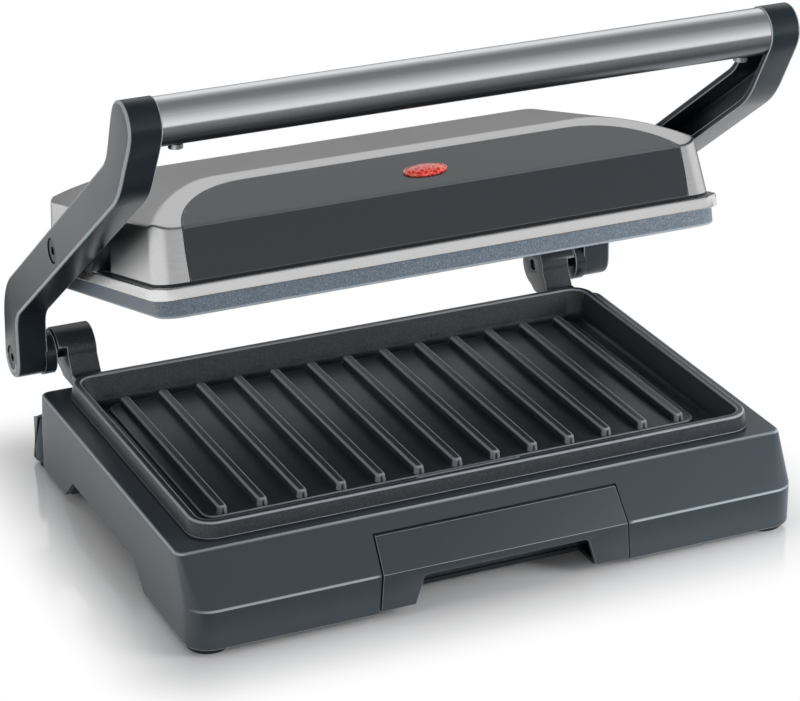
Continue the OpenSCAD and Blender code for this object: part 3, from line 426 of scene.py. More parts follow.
def shade(red, green, blue):
    """A colour as it looks on a screen, 0 to 255, as the linear colour that the shader needs."""
    return tuple(((v / 255 + 0.055) / 1.055) ** 2.4 if v > 10 else v / 3294.6
                 for v in (red, green, blue)) + (1.0,)


def shades(colour, spread):
    """A darker and a lighter colour, by a share of the colour itself."""
    return [tuple(min(c * (1 + way * spread), 1) for c in colour[:3]) + (1,) for way in (-1, 1)]


print("colour check:", [round(v, 3) for v in shade(128, 128, 128)])

# %% [markdown]
# ### Moulded plastic
# Base, tray, lid panel and arms are satin mouldings. Spark-eroded moulds leave a very fine grain,
# and thick areas shine a little less evenly than thin ones. Two noises do it: a fine one for the
# grain, in the bump, and a broad, weak one that varies the gloss and the colour.


# %% Plastic finishes
# Colours towards which the edges turn: a painted highlight on plastic and on the coated castings.
PLASTIC_HIGHLIGHT, COAT_HIGHLIGHT = (0.46, 0.52, 0.56, 1), (0.46, 0.50, 0.54, 1)


def moulded(name, colour, gloss, grain=0.012, spread=0.1, most=0.75, shine=0.45):
    """Grained plastic: its gloss, depth of grain in mm, spread of colour, painted edge highlight
    and shine.
    """
    finish = Finish(name, Specular_IOR_Level=shine, Specular_Tint=(0.84, 0.93, 1.0, 1))
    where = finish.place()
    fine, broad = finish.noise(where, 2600, 3.0, 0.6), finish.noise(where, 26)
    tint = finish.colours(broad * 0.7 + fine * 0.3, *shades(colour, spread))
    # Painted highlight: the colour turns paler along the rounded edges, by most.
    tint = finish.edge_highlight(tint, PLASTIC_HIGHLIGHT, most)
    return finish.surface(tint, gloss + 0.1 * (broad - 0.5) + 0.06 * (fine - 0.5), fine, grain)


slate_plastic = moulded("slate_plastic", shade(56, 63, 69), 0.33)
panel_plastic = moulded("panel_plastic", shade(14, 18, 22), 0.2, 0.006, most=0.2, shine=0.95)
arm_plastic = moulded("arm_plastic", shade(30, 37, 43), 0.24, shine=0.42)
dark_plastic = moulded("dark_plastic", shade(22, 25, 28), 0.4)
foot_rubber = moulded("foot_rubber", shade(24, 24, 26), 0.7, 0.03)

# %% [markdown]
# ### The cast plates
# The plates are cast aluminium under a dark non-stick coat. Blasting before coating leaves tiny
# sparkling grains, plain to see on the outside of the upper plate. A fine noise pushed through a
# ramp gives separate bright specks, and the same noise raises the surface.


# %% Coated castings
def coated(name, dark, light, gloss, grain):
    """Grains of a light colour on a dark one, under a coat with this gloss and depth in mm."""
    finish = Finish(name, Specular_IOR_Level=0.5)
    where = finish.place()
    grains, broad = finish.noise(where, 1500, 2.0, 0.7), finish.noise(where, 30)
    specks = finish.ramp(grains, [(0.42, 0.0), (0.72, 1.0)])
    # Painted highlight along the rounded edges, as on the plastics.
    tint = finish.edge_highlight(finish.colours(specks, dark, light), COAT_HIGHLIGHT, 0.6)
    return finish.surface(tint, gloss + 0.12 * (broad - 0.5), grains, grain)


plate_coat = coated("plate_coat", shade(34, 38, 42), shade(58, 63, 68), 0.34, 0.02)
upper_coat = coated("upper_coat", shade(84, 95, 105), shade(124, 136, 147), 0.42, 0.03)

# %% [markdown]
# ### Brushed steel
# A brushing belt scratches the steel along one direction. Noise that is drawn out along that
# direction gives the scratches: they vary the colour a little, the gloss more, and they raise the
# surface by a few thousandths of a millimetre.


# %% Steel finishes
def brushed(name, colour, gloss, spread=0.05, scratch=0.004, along=(30, 2600, 2600)):
    """Steel with scratches that deep in mm, drawn out by the smaller scales in along."""
    finish = Finish(name, Metallic=1.0)
    lines = finish.noise(finish.place(along), 1.0, 3.0, 0.65)
    broad = finish.noise(finish.place(), 14)
    tint = finish.colours(lines, *shades(colour, spread))
    gloss = gloss + 0.12 * (lines - 0.5) + 0.08 * (broad - 0.5)
    return finish.surface(tint, gloss, lines, scratch)


lid_steel = brushed("lid_steel", shade(206, 206, 206), 0.31, 0.14, 0.002, (5, 1500, 1500))
band_steel = brushed("band_steel", shade(226, 226, 226), 0.26, 0.03, 0.002)


def tube_finish():
    """Brushed steel whose underside, marked by the attribute "under", is rougher and carries a
    painted shade.
    """
    finish = Finish("tube_steel", Metallic=1.0)
    lines = finish.noise(finish.place((12, 2600, 2600)), 1.0, 3.0, 0.65)
    under = finish.attribute("under")
    bright = finish.colours(lines, shade(226, 229, 233), shade(240, 243, 246))
    # Painted shade: on the underside the colour goes to a dark grey.
    tint = finish.colours(under, bright, shade(74, 80, 87))
    return finish.surface(tint, 0.19 + 0.1 * (lines - 0.5) + 0.12 * under, lines, 0.0012)


tube_steel = tube_finish()
# Near-black steel for the screws that sit in the arms' recesses, so that the recesses look dark: a
# painted shade.
recess_shade_steel = brushed("recess_shade_steel", shade(52, 54, 57), 0.35, 0.1, 0.004, (700, 700, 700))
zinc_steel = brushed("zinc_steel", shade(176, 180, 182), 0.32, 0.08, 0.01, (700, 700, 700))
element_steel = brushed("element_steel", shade(120, 118, 114), 0.5, 0.15, 0.01, (300, 300, 300))
shield_aluminium = brushed("shield_aluminium", shade(206, 208, 210), 0.38, 0.04, 0.004)

# %% [markdown]
# ### The small things inside
# They are seldom seen, only where the lid or the tray lets the eye in, but each has its stuff:
# chalky ceramic, a woven sleeve, brown phenolic, red and clear glass.

# %% Finishes of the inner pieces
block_ceramic = moulded("block_ceramic", shade(222, 217, 200), 0.75, 0.03, 0.05)
thermostat_case = moulded("thermostat_case", shade(62, 48, 40), 0.38, 0.01)


def woven(name, colour):
    """Threads as small cells, dark in the middle and raised to the edge."""
    finish = Finish(name, Roughness=0.85)
    weave = finish.node("ShaderNodeTexVoronoi", {}, {"Vector": finish.place(), "Scale": 1600})
    tint = finish.colours(weave, shades(colour, 0.3)[0], colour)
    return finish.surface(tint, None, weave, 0.12)


wire_sleeve = woven("wire_sleeve", shade(206, 198, 180))

red_glass = Finish("red_lens", Roughness=0.1, IOR=1.55, Coat_Weight=1.0, Coat_Roughness=0.04)
facets = red_glass.node("ShaderNodeTexVoronoi", {"feature": "DISTANCE_TO_EDGE"},
                        {"Vector": red_glass.place(), "Scale": 520})
red_glow = red_glass.ramp(facets, [(0.0, (0.9, 0.22, 0.16)), (0.1, (0.62, 0.02, 0.01)),
                                   (0.5, (0.36, 0.0, 0.0))])
red_glass.feed(red_glass.shader, {"Emission Color": red_glow, "Emission Strength": 0.15})
red_lens = red_glass.surface(red_glow, None, facets, 0.12)

clear = Finish("lamp_glass", Roughness=0.05, Transmission_Weight=0.8, IOR=1.45)
film = clear.noise(clear.place(), 300)
tint = clear.colours(film, shade(240, 225, 205), shade(252, 244, 232))
lamp_glass = clear.surface(tint, 0.05 + film * 0.08)

# %% Give each piece of the frame its finish
FINISH_OF = dict(
    slate_plastic=slate_plastic, dark_plastic=dark_plastic, foot_rubber=foot_rubber,
    zinc_steel=zinc_steel, coated_cast_aluminium=plate_coat, element_steel=element_steel,
    shield_aluminium=shield_aluminium, block_ceramic=block_ceramic, wire_sleeve=wire_sleeve,
    handle_steel=tube_steel, lid_steel=lid_steel, band_steel=band_steel,
    thermostat_case=thermostat_case, red_lens=red_lens, lamp_glass=lamp_glass)
for part in frame["record"]["subparts"]:
    slots = frame["nodes"][part["node"]].data.materials
    slots.clear()
    slots.append(FINISH_OF[part["material_slot"]])
# The screws take the near-black steel of the painted shade in the recesses.
own_finish = {"upper_grill_plate": upper_coat, "lid_front_panel": panel_plastic,
              "left_arm": arm_plastic, "right_arm": arm_plastic,
              "hinge_screws": recess_shade_steel, "pivot_screws": recess_shade_steel}
for name, finish in own_finish.items():
    frame["nodes"][name].data.materials[0] = finish
print("finishes:", len(FINISH_OF) + len(set(own_finish.values())))

# %% [markdown]
# ## The base
# The base is one moulding: an upright fascia, a crease, a slope up to the deck, and upright sides.
# The corners are round at the foot and nearly sharp at the deck. All of it is one closed band of
# rings: up the outside, over the deck to the opening for the plate, and down again on the inside.
# The mouth for the tray and the arches in the sides are then cut out of it.

# %% Rings of the base
WALL = 2.4
REAR_DECK, REAR_WALL = 174.0, 181.9
OPEN_HW, OPEN_FRONT, OPEN_REAR = 117.6, 22.9, 166.1
FOOT = 3.0
base_knots = [  # front depth, height, half width, height, rear depth, height, corner radius
    (0, FOOT, BASE_HW, FOOT, REAR_WALL, FOOT, 10),
    (0, CREASE, BASE_HW, CREASE, REAR_WALL, CREASE, 10),
    (SLOPE, DECK, BASE_HW, DECK, REAR_DECK, DECK, 3.5),
    (OPEN_FRONT, DECK, OPEN_HW, DECK, OPEN_REAR, DECK, 7.5),
    (OPEN_FRONT, DECK - WALL, OPEN_HW, DECK - WALL, OPEN_REAR, DECK - WALL, 7.5),
    (SLOPE + WALL, DECK - WALL, BASE_HW - WALL, DECK - WALL, REAR_DECK - WALL, DECK - WALL, 1.5),
    (WALL, CREASE - 0.8, BASE_HW - WALL, CREASE - 0.8, REAR_WALL - WALL, CREASE - 0.8, 7.6),
    (WALL, FOOT, BASE_HW - WALL, FOOT, REAR_WALL - WALL, FOOT, 7.6),
]
base_rows = softened(base_knots, [0.3, 0.6, 0.9, 0.4, 0.3, 0.8, 0.8, 0.3], steps=6, closed=True)
base_skin = piece_from("base_skin", [box_rings(base_rows)], "base", "slate_plastic", whole=True)
print("base rings:", len(base_rows))


# %% Cutting one piece with another
def applied(piece):
    """Puts what the modifiers make of a piece in the place of its mesh."""
    depsgraph = bpy.context.evaluated_depsgraph_get()
    done = bpy.data.meshes.new_from_object(piece.evaluated_get(depsgraph))
    piece.modifiers.clear()
    old, piece.data = piece.data, done
    bpy.data.meshes.remove(old)


def cut(piece, cutter, how="DIFFERENCE"):
    """Cuts a piece with a closed cutter, keeps the result and throws the cutter away."""
    knife = piece.modifiers.new("cut", "BOOLEAN")
    knife.operation, knife.object, knife.solver = how, cutter, "EXACT"
    applied(piece)
    bpy.data.objects.remove(cutter)
    settle(piece, merge=1e-6)


def prism(outline, start, end, axis=0):
    """A closed cutter: an outline of the other two axes drawn out along one axis."""
    flat = np.asarray(outline, float)
    count = len(flat)
    points = np.zeros((2, count, 3))
    points[..., [k for k in range(3) if k != axis]] = flat
    points[0, :, axis], points[1, :, axis] = start, end
    j = np.arange(count)
    side = np.stack([j, (j + 1) % count, count + (j + 1) % count, count + j], -1).tolist()
    ends = [j[::-1].tolist(), (j + count).tolist()]
    cutter = meshed("cutter", points.reshape(-1, 3) * MM, side + ends)
    work = bmesh.new()
    work.from_mesh(cutter.data)
    bmesh.ops.recalc_face_normals(work, faces=work.faces)
    work.to_mesh(cutter.data)
    work.free()
    return cutter


# %% Cut the tray's mouth and the side arches
TRAY_TOP, TRAY_GAP = 31.75, 0.45
right_side = np.array([(53.95, 0), (54.2, 4.0), (53.2, CREASE), (52.5, TRAY_TOP + TRAY_GAP)])
mouth = np.concatenate([right_side, right_side[::-1] * [-1, 1]])
cut(base_skin, prism(mouth, FASCIA - 2, FASCIA + 14, axis=1))
ARCH_FRONT, ARCH_REAR, ARCH_TOP, ARCH_RUN = 53.0, 146.7, 13.2, (10.3, 11.2)
arch = np.array([(ARCH_FRONT, 0), (ARCH_REAR, 0), (ARCH_REAR, FOOT),
                 (ARCH_REAR - ARCH_RUN[1], ARCH_TOP), (ARCH_FRONT + ARCH_RUN[0], ARCH_TOP),
                 (ARCH_FRONT, FOOT)])
cut(base_skin, prism(arch + [FASCIA, 0], -BASE_HW - 2, BASE_HW + 2, axis=0))
print("base faces:", len(base_skin.data.polygons))

# %% [markdown]
# ### The ledge behind the deck
# A low ledge closes the base behind the hinge. Its top falls to the rear and its rear face leans
# in, so a plain band of rings is drawn first and its top is then trimmed by a sloping plane.

# %% Ledge
LEDGE_FOOT, LEDGE_TOP, LEDGE_FALL, LEDGE_R = 193.8, 21.6, math.radians(17.4), 8
LEDGE_START, BLOCK_TOP = 176, 27.6
lean = (LEDGE_TOP + 6 - FOOT) * math.tan(math.radians(16.2))
ledge_rows = softened([
    (LEDGE_START, FOOT, BASE_HW, FOOT, LEDGE_FOOT, FOOT, LEDGE_R),
    (LEDGE_START, BLOCK_TOP, BASE_HW, BLOCK_TOP, LEDGE_FOOT - lean, BLOCK_TOP, LEDGE_R),
    (LEDGE_START + 5, BLOCK_TOP, BASE_HW - 5, BLOCK_TOP, LEDGE_START + 5, BLOCK_TOP, 0),
], [0.3, 1.0, 0], steps=6)
ledge = box_rings(ledge_rows, aside=12)
plane = LEDGE_TOP + (LEDGE_FOOT - 6 - ledge[..., 1]) * math.tan(LEDGE_FALL)
ledge[..., 2] = np.minimum(ledge[..., 2], plane)
bottom = ledge[:1].copy()
bottom[..., 1] = LEDGE_START + 8
rear_ledge = piece_from("rear_ledge", [np.concatenate([bottom, ledge])], "base", "slate_plastic")
print("ledge rings:", len(ledge_rows))

# %% [markdown]
# ## The lower plate
# The casting has a flared foot that shades the joint to the deck, a wall up to a rounded rim, a
# drain channel inside the rim and a raised floor. At the front the channel is wide and slopes to
# the drain. The rings run from the middle of the underside, round the outside and back to the
# middle of the floor.

# %% Lower plate
PLATE_HW, PLATE_FRONT, PLATE_REAR = 120.0, 20.5, 168.5
RIM, BEAD, CHANNEL, FLOOR, UNDER = 45.2, 38.8, 33.8, 35.2, 30.8
MIDDLE = (PLATE_REAR - PLATE_FRONT) / 2
plate_rows = around(PLATE_HW, PLATE_FRONT, PLATE_REAR, [
    (MIDDLE, UNDER, 0), (2.9, UNDER, 7), (2.9, DECK - 0.6, 7), (2.9, DECK + 0.05, 7),
    (0.25, DECK + 0.05, 9), (0.25, BEAD - 0.25, 9), (-1.4, BEAD, 10.4), (0, RIM, 9.5),
    (3, RIM, 6.5), (5.9, CHANNEL, 6.0), (11.9, CHANNEL, 5.5), (12.5, FLOOR, 5.2),
    (MIDDLE, FLOOR, 0)])
FLOOR_FRONT = 42.9
plate_rows[10, 0], plate_rows[11, 0] = FLOOR_FRONT, FLOOR_FRONT + 0.6
plate_rows = softened(plate_rows, [0, 0.5, 0.2, 0.2, 0.2, 0.15, 0.6, 0.8, 0.7, 2.0, 0.4, 0.5, 0],
                      steps=6)
lower_plate = piece_from("lower_plate", [box_rings(plate_rows)], "base", "coated_cast_aluminium")
DRAIN_HW, DRAIN_FRONT, DRAIN_REAR = 20.0, 25.9, 32.9
drain = box_rings([(DRAIN_FRONT, 0, DRAIN_HW, 0, DRAIN_REAR, 0, 3)], 4, 2, 5)[0][:, :2]
cut(lower_plate, prism(drain + [0, FASCIA], UNDER - 3, FLOOR + 1, axis=2))
print("lower plate faces:", len(lower_plate.data.polygons))

# %% [markdown]
# ### Ribs
# Thirteen ribs run from front to back. Each is a narrow bar with leaning flanks, a flat crest and
# round edges, which catch two fine lines of light that end in two bright dots. One rib is worked
# out and repeated at the pitch. The low bar before them shields the drain.

# %% Ribs of the lower plate
RIBS, PITCH, RIB_HW, RIB_H = 13, 16.7, 2.3, 3.3
RIB_DRAFT, RIB_EDGE, RIB_END = 0.4, 1.0, 1.7   # lean of a flank, edge and corner in plan


def rib_grids(y0, y1, foot, crest):
    """Closed bars between two depths; foot and crest are their heights, whichever is higher."""
    knots = [(RIB_HW, foot, 0), (0, foot, RIB_END),
             (RIB_DRAFT, crest, RIB_END), (RIB_HW, crest, 0)]
    soft = [0, 0.05, RIB_EDGE, 0]
    if crest < foot:
        knots, soft = knots[::-1], soft[::-1]
    bar = box_rings(softened(around(RIB_HW, y0, y1, knots), soft, 5), 2, 14, 5)
    spots = (np.arange(RIBS) - (RIBS - 1) / 2) * PITCH
    return [bar + [x, 0, 0] for x in spots]


RIB_REAR, ROOT = 155.6, 0.3         # where the ribs end, and how far they reach into the floor
lower_ribs = rib_grids(FLOOR_FRONT + 1.2, RIB_REAR, FLOOR - ROOT, FLOOR + RIB_H)
GUARD_HW, GUARD_Y, GUARD_TOP = 22.5, (34.1, 36.3), 39.3
guard_rows = around(GUARD_HW, *GUARD_Y, [(1.1, CHANNEL - 0.2, 0), (0, CHANNEL - 0.2, 1.0),
                                         (0.15, GUARD_TOP, 0.9), (1.1, GUARD_TOP, 0)])
guard = box_rings(softened(guard_rows, [0, 0.05, 0.6, 0], 5), 20, 1, 5)
plate_ribs = piece_from("lower_ribs", lower_ribs + [guard], "base", "coated_cast_aluminium")
print("ribs:", len(lower_ribs))

# %% Pads for the hinge lugs
LUG_X, LUG_SEAT, LUG_SEAT_TOP = (104.0, 116.8), 172.0, 44.0
pad_mid, pad_hw = sum(LUG_X) / 2, (LUG_X[1] - LUG_X[0]) / 2
pad_rows = around(pad_hw, PLATE_REAR - 2.5, LUG_SEAT, [
    (pad_hw / 2, BEAD, 0), (0, BEAD, 0.6), (0, LUG_SEAT_TOP, 0.6), (3.2, LUG_SEAT_TOP, 0)])
pad_rows[[0, 0, -1, -1], [0, 4, 0, 4]] = PLATE_REAR
pad = box_rings(softened(pad_rows, [0, 0.3, 0.6, 0], 4), 4, 4, 3)
pads = piece_from("lug_pads", [pad + [side * pad_mid, 0, 0] for side in (-1, 1)], "base",
                  "coated_cast_aluminium")

# %% [markdown]
# ## Edges of the engineering pieces
# Some pieces have the right shape and only lack soft edges. A copy of the mesh is merged and its
# flat faces are joined, and every sharp edge is then rounded off with three small facets.


# %% A softened copy of a frame piece
def soften(nodes, name, body, node_slot, width, sharp=33):
    """A copy of some frame pieces as one piece, with its sharp edges rounded to a width in mm."""
    work = bmesh.new()
    for node in nodes:
        work.from_mesh(frame["nodes"][node].data)
    bmesh.ops.remove_doubles(work, verts=work.verts, dist=4e-6)
    bmesh.ops.dissolve_limit(work, angle_limit=math.radians(0.6), verts=work.verts,
                             edges=work.edges)
    edges = [e for e in work.edges if e.is_manifold and e.calc_face_angle(0) > math.radians(sharp)]
    bmesh.ops.bevel(work, geom=edges, offset=width * MM, segments=3, profile=0.5, affect="EDGES",
                    clamp_overlap=True)
    mesh = bpy.data.meshes.new(name)
    work.to_mesh(mesh)
    work.free()
    piece = linked(name, mesh)
    mesh.shade_smooth()
    mesh.set_sharp_from_angle(angle=math.radians(sharp))
    mesh.materials.append(FINISH_OF[node_slot])
    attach(piece, body)
    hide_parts(*nodes)
    print(name, "edges rounded:", len(edges), "faces:", len(mesh.polygons))
    return piece


tray = soften(["drip_tray"], "tray_moulding", "drip_tray", "slate_plastic", 0.45)
lugs = soften(["hinge_lugs"], "cast_lugs", "base", "coated_cast_aluminium", 0.8)

# %% [markdown]
# ## Turned shapes
# Tubes, collars and bosses are turned: a profile of radii along the axis is carried round it.


# %% Turning a profile about a line along X
def turned(profile, centre, count=64):
    """Rings (x, y, z) of a profile of (x, radius) carried round the line along X through centre."""
    x, radius = np.asarray(profile, float).T[:, :, None]
    angle = np.linspace(0, 2 * math.pi, count + 1)[None, :-1]
    return np.stack([x + 0 * angle, centre[0] + radius * np.cos(angle),
                     centre[1] + radius * np.sin(angle)], -1)


def eased(u):
    """Goes from 0 to 1 with u, level at both ends: 3u^2 - 2u^3."""
    u = np.clip(u, 0, 1)
    return u * u * (3 - 2 * u)


HINGE, GRIP = (185.8, 50.5), (38.1, 200.6)
TUBE_R, TUBE_WALL, ARM_IN, ARM_OUT = 9.15, 1.2, 125.2, 138.2
tube_knots = [(-ARM_IN, TUBE_R - TUBE_WALL), (-ARM_IN, TUBE_R), (ARM_IN, TUBE_R),
              (ARM_IN, TUBE_R - TUBE_WALL)]
tube = piece_from("tube", [turned(softened(tube_knots, 0.25, 4, True), GRIP, 96)], "arms",
                  "handle_steel", whole=True)
spots = read(tube.data.vertices, "co", 3) / MM - at_home(np.array([0.0, *GRIP]))
dip = np.degrees(np.arctan2(-spots[:, 2], -spots[:, 1]))      # 0 faces forward, 90 straight down
# Painted shade: the underside of the tube is marked, and there its colour darkens while it also
# turns rougher.
DULL_SHADE_FROM, DULL_SHADE_OVER, DULL_SHADE_TO, DULL_SHADE_MOST = -2, 30, 150, 0.9   # degrees, and the most of it
fall = eased((dip - DULL_SHADE_FROM) / DULL_SHADE_OVER) * (dip < DULL_SHADE_TO)
under = tube.data.attributes.new("under", "FLOAT", "POINT")
under.data.foreach_set("value", DULL_SHADE_MOST * fall)

# %% [markdown]
# ## The arms
# Each arm is a channel, open to the inside, that rises from the hinge, bends at the knee, runs up
# to the elbow and turns up to the handle. Its outline is the path with half the width laid off to
# both sides and a round cap at each end. Shrinking that outline step by step while moving across
# the thickness gives the outer face, its soft edge, the wall and the channel inside.

# %% The arms' outline
def circle(angle):
    """Points of the unit circle at these angles."""
    return np.stack([np.cos(angle), np.sin(angle)], -1)


def step_up(length, degrees):
    """A step forwards and up, in depth and height."""
    return length * circle(math.radians(180 - degrees))


KNEE = np.array([185.3, 76.0])
ELBOW = KNEE + step_up(168.6, 36.4)
GRIP_AT = ELBOW + step_up(27.1, 65.1)
ARM_HW, HUB_R, HEAD_R, KNEE_R, ELBOW_R = 8.1, 8.6, 9.6, 20.0, 30.0
HUB_RUN, HEAD_RUN = 14, 24          # how far from its ends an arm starts to widen


def bend(before, corner, after, radius, count):
    """Centre, start point, end point and angles of the arc of a radius that rounds a corner."""
    a = (before - corner) / np.linalg.norm(before - corner)
    b = (after - corner) / np.linalg.norm(after - corner)
    half = math.acos(float(a @ b)) / 2
    centre = corner + (a + b) / np.linalg.norm(a + b) * radius / math.sin(half)
    start, end = corner + a * radius / math.tan(half), corner + b * radius / math.tan(half)
    t0, t1 = [math.atan2(*(p - centre)[::-1]) for p in (start, end)]
    turn = (t1 - t0 + math.pi) % (2 * math.pi) - math.pi
    angle = t0 + turn * np.linspace(0, 1, count)
    return centre + radius * circle(angle)


def line(a, b, count):
    """Points between two others, evenly spaced."""
    return a + (b - a) * np.linspace(0, 1, count + 2)[1:-1, None]


hinge_at = np.array(HINGE)
first, second = bend(hinge_at, KNEE, ELBOW, KNEE_R, 14), bend(KNEE, ELBOW, GRIP_AT, ELBOW_R, 14)
spine = np.concatenate([[hinge_at], line(hinge_at, first[0], 4), first,
                        line(first[-1], second[0], 20), second, line(second[-1], GRIP_AT, 5),
                        [GRIP_AT]])
heading = np.gradient(spine, axis=0)
heading /= np.linalg.norm(heading, axis=1)[:, None]
sideways = np.stack([-heading[:, 1], heading[:, 0]], -1)
run = np.concatenate([[0], np.cumsum(np.linalg.norm(np.diff(spine, axis=0), axis=1))])
half_width = (ARM_HW + (HEAD_R - ARM_HW) * eased(1 - (run[-1] - run) / HEAD_RUN)
              + (HUB_R - ARM_HW) * eased(1 - run / HUB_RUN))


def arm_rings(rows, side):
    """Outline rings of an arm: each row is x and how far the outline has shrunk there."""
    x, inset = np.asarray(rows, float).T[:, :, None]
    reach = np.maximum(half_width - inset, 0)[..., None]
    left, right = spine + sideways * reach, spine - sideways * reach
    cap = np.linspace(0, math.pi, 15)[1:-1]

    def half_circle(k, ahead):
        turn = np.sin(cap)[:, None] * heading[k] - np.cos(cap)[:, None] * sideways[k]
        return spine[k] + ahead * turn * reach[:, k][:, None]

    flat = np.concatenate([right, half_circle(-1, 1), left[:, ::-1], half_circle(0, -1)], 1)
    across = np.broadcast_to((side * x)[..., None], flat.shape[:2] + (1,))
    return np.concatenate([across, flat], -1)


arm_knots = [(ARM_OUT, 12), (ARM_OUT, 0), (ARM_IN, 0), (ARM_IN, WALL),
             (ARM_OUT - WALL, WALL + 0.4), (ARM_OUT - WALL, 12)]
arm_rows = softened(arm_knots, [0, 1.1, 0.5, 0.5, 1.0, 0], 6)
print("arm outline points:", arm_rings(arm_rows, 1).shape)

# %% Bosses, bores and both arms
PIVOT_AT, BORE_R, PIVOT_BORE_R, RECESS_R, RECESS = tuple(PIVOT[1:]), 3.55, 3.05, 5.2, 3.2
INSIDE = ARM_OUT - 2.2              # where bosses and plugs end, within the outer wall


def boss(radius, centre, bore):
    """A boss with a bore and a recess for a screw's head, closed into a ring."""
    knots = [(ARM_IN, bore), (ARM_IN, radius), (INSIDE, radius), (INSIDE, RECESS_R),
             (ARM_OUT - RECESS, RECESS_R), (ARM_OUT - RECESS, bore)]
    return turned(softened(knots, [0.2, 0.5, 0.1, 0.1, 0.1, 0.1], 3, True), centre, 48)


COLLAR_R, COLLAR_X = 9.3, 121.0
collar = turned(softened([(COLLAR_X, BORE_R), (COLLAR_X, COLLAR_R), (ARM_IN + 1, COLLAR_R),
                          (ARM_IN + 1, BORE_R)], [0.2, 0.6, 0.1, 0.1], 4, True), HINGE, 64)
arm_pieces = []
for side, word in ((-1, "left"), (1, "right")):
    mirror = np.array([side, 1, 1])
    arm = piece_from(word + "_arm_channel", [arm_rings(arm_rows, side)], "arms",
                     "dark_plastic", arm_plastic)
    for centre in (HINGE, PIVOT_AT):
        hole = turned([(ARM_OUT - RECESS, 0), (ARM_OUT - RECESS, RECESS_R),
                       (ARM_OUT + 2, RECESS_R), (ARM_OUT + 2, 0)], centre, 48)
        cut(arm, piece_from("drill", [hole * mirror], "arms", "dark_plastic"))
    inner = [boss(HUB_R - 1, HINGE, BORE_R), boss(RECESS_R + 1.6, PIVOT_AT, PIVOT_BORE_R), collar]
    bosses = piece_from(word + "_arm_bosses", [ring * mirror for ring in inner], "arms",
                        "dark_plastic", arm_plastic, whole=True)
    head = turned(softened([(ARM_IN, 0), (ARM_IN, HEAD_R - 1), (INSIDE, HEAD_R - 1), (INSIDE, 0)],
                           [0, 0.4, 0.1, 0], 3), GRIP_AT, 48)
    plug = piece_from(word + "_arm_head", [head * mirror], "arms", "dark_plastic", arm_plastic)
    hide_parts(word + "_arm")
    arm_pieces += [arm, bosses, plug]
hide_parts("handle_tube")
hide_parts("lower_grill_plate")
print("arms made")

# %% [markdown]
# ## The lid
# The steel shell has leaning walls, a crease all round, a straight slope at the front, a flat top
# and a roof that falls away to the ends and the rear. Its height over any point is the lowest of
# those surfaces, and where two of them meet the lower one takes over smoothly, as drawn sheet
# does. The rings climb the wall and then close in over the roof.

# %% The roof as a function of place
LID_HW, LID_D, SEAM, LID_CREASE, LID_TOP = 121.2, 149.0, 5.8, 26.2, 39.6
SHELL_HW, SHELL_FRONT, SHELL_REAR, SHELL_R = 118.8, 3.5, 146.0, 9.6
END_X, END_R, REAR_Y, REAR_R = 77.0, 72.0, 92.0, 118.0
FRONT_DRAFT, SIDE_DRAFT, REAR_DRAFT = (math.tan(math.radians(a)) for a in (8, 5, 4))
CREASE_Y, TOP_Y = SHELL_FRONT + 2.9, 39.9       # where the front slope starts and ends
FRONT_RISE = (LID_TOP - LID_CREASE) / (TOP_Y - CREASE_Y)


def lower_of(a, b, soft):
    """The lower of two heights, eased by soft mm where they are nearly equal."""
    near = np.maximum(soft - np.abs(a - b), 0) / soft
    return np.minimum(a, b) - near ** 2 * soft / 4


def roof(x, y):
    """Height of the lid over (x, y) in its own frame."""
    ends = LID_TOP - END_R + np.sqrt(END_R ** 2 - np.clip(np.abs(x) - END_X, 0, 60) ** 2)
    rear = LID_TOP - REAR_R + np.sqrt(REAR_R ** 2 - np.clip(y - REAR_Y, 0, 80) ** 2)
    front = LID_CREASE + (y - CREASE_Y) * FRONT_RISE
    return lower_of(lower_of(front, rear, 0.5), ends, 0.5)


def shell_ring(inset, rise):
    """Outline of the leaning wall at a height above the seam, drawn in by inset."""
    corner = max(SHELL_R - inset, 0.0)
    row = (SHELL_FRONT + rise * FRONT_DRAFT + inset, 0, SHELL_HW - rise * SIDE_DRAFT - inset, 0,
           SHELL_REAR - rise * REAR_DRAFT - inset, 0, corner)
    return box_rings([row], 130, 66, 12)[0][:, :2]


# %% The lid's surface in rings
def lid_surface():
    """Rings up the wall, round the crease and over the roof.

    The crease is where the wall meets the roof. Over the roof the rings are outlines of the wall's
    top drawn in step by step, and the crease's distance from that top fades over the first 8 mm.
    """
    climb_to = 20
    foot, high = shell_ring(0, 0), shell_ring(0, climb_to)

    def wall(z):
        flat = foot + (z - SEAM)[:, None] / climb_to * (high - foot)
        return np.concatenate([flat, z[:, None]], -1)

    edge = np.full(len(foot), LID_CREASE)
    for _ in range(6):
        edge = roof(*wall(edge)[:, :2].T)
    crease = wall(edge)
    rise = LID_CREASE - SEAM
    miss = crease[:, :2] - shell_ring(0, rise)
    depth = (SHELL_REAR - SHELL_FRONT - rise * (FRONT_DRAFT + REAR_DRAFT)) / 2

    def over(inset):
        flat = shell_ring(min(inset, depth), rise) + miss * max(1 - inset / 8, 0) ** 2
        return np.concatenate([flat, roof(*flat.T)[:, None]], -1)

    soft, u = 0.9, np.linspace(0, 1, 7)[:, None, None]
    a, b = wall(edge - soft), over(soft)
    curve = (1 - u) ** 2 * a + 2 * u * (1 - u) * crease + u ** 2 * b
    climb = np.stack([wall(SEAM + (edge - soft - SEAM) * t) for t in (0, 0.02, 0.35, 0.7, 0.97)])
    insets = np.concatenate([np.linspace(1.6, 30, 18), np.linspace(31, 36, 12),
                             np.linspace(38, depth, 12)])
    return np.concatenate([climb, curve, np.stack([over(inset) for inset in insets])])


lid_grid = lid_surface()
print("lid rings and points:", lid_grid.shape[:2])


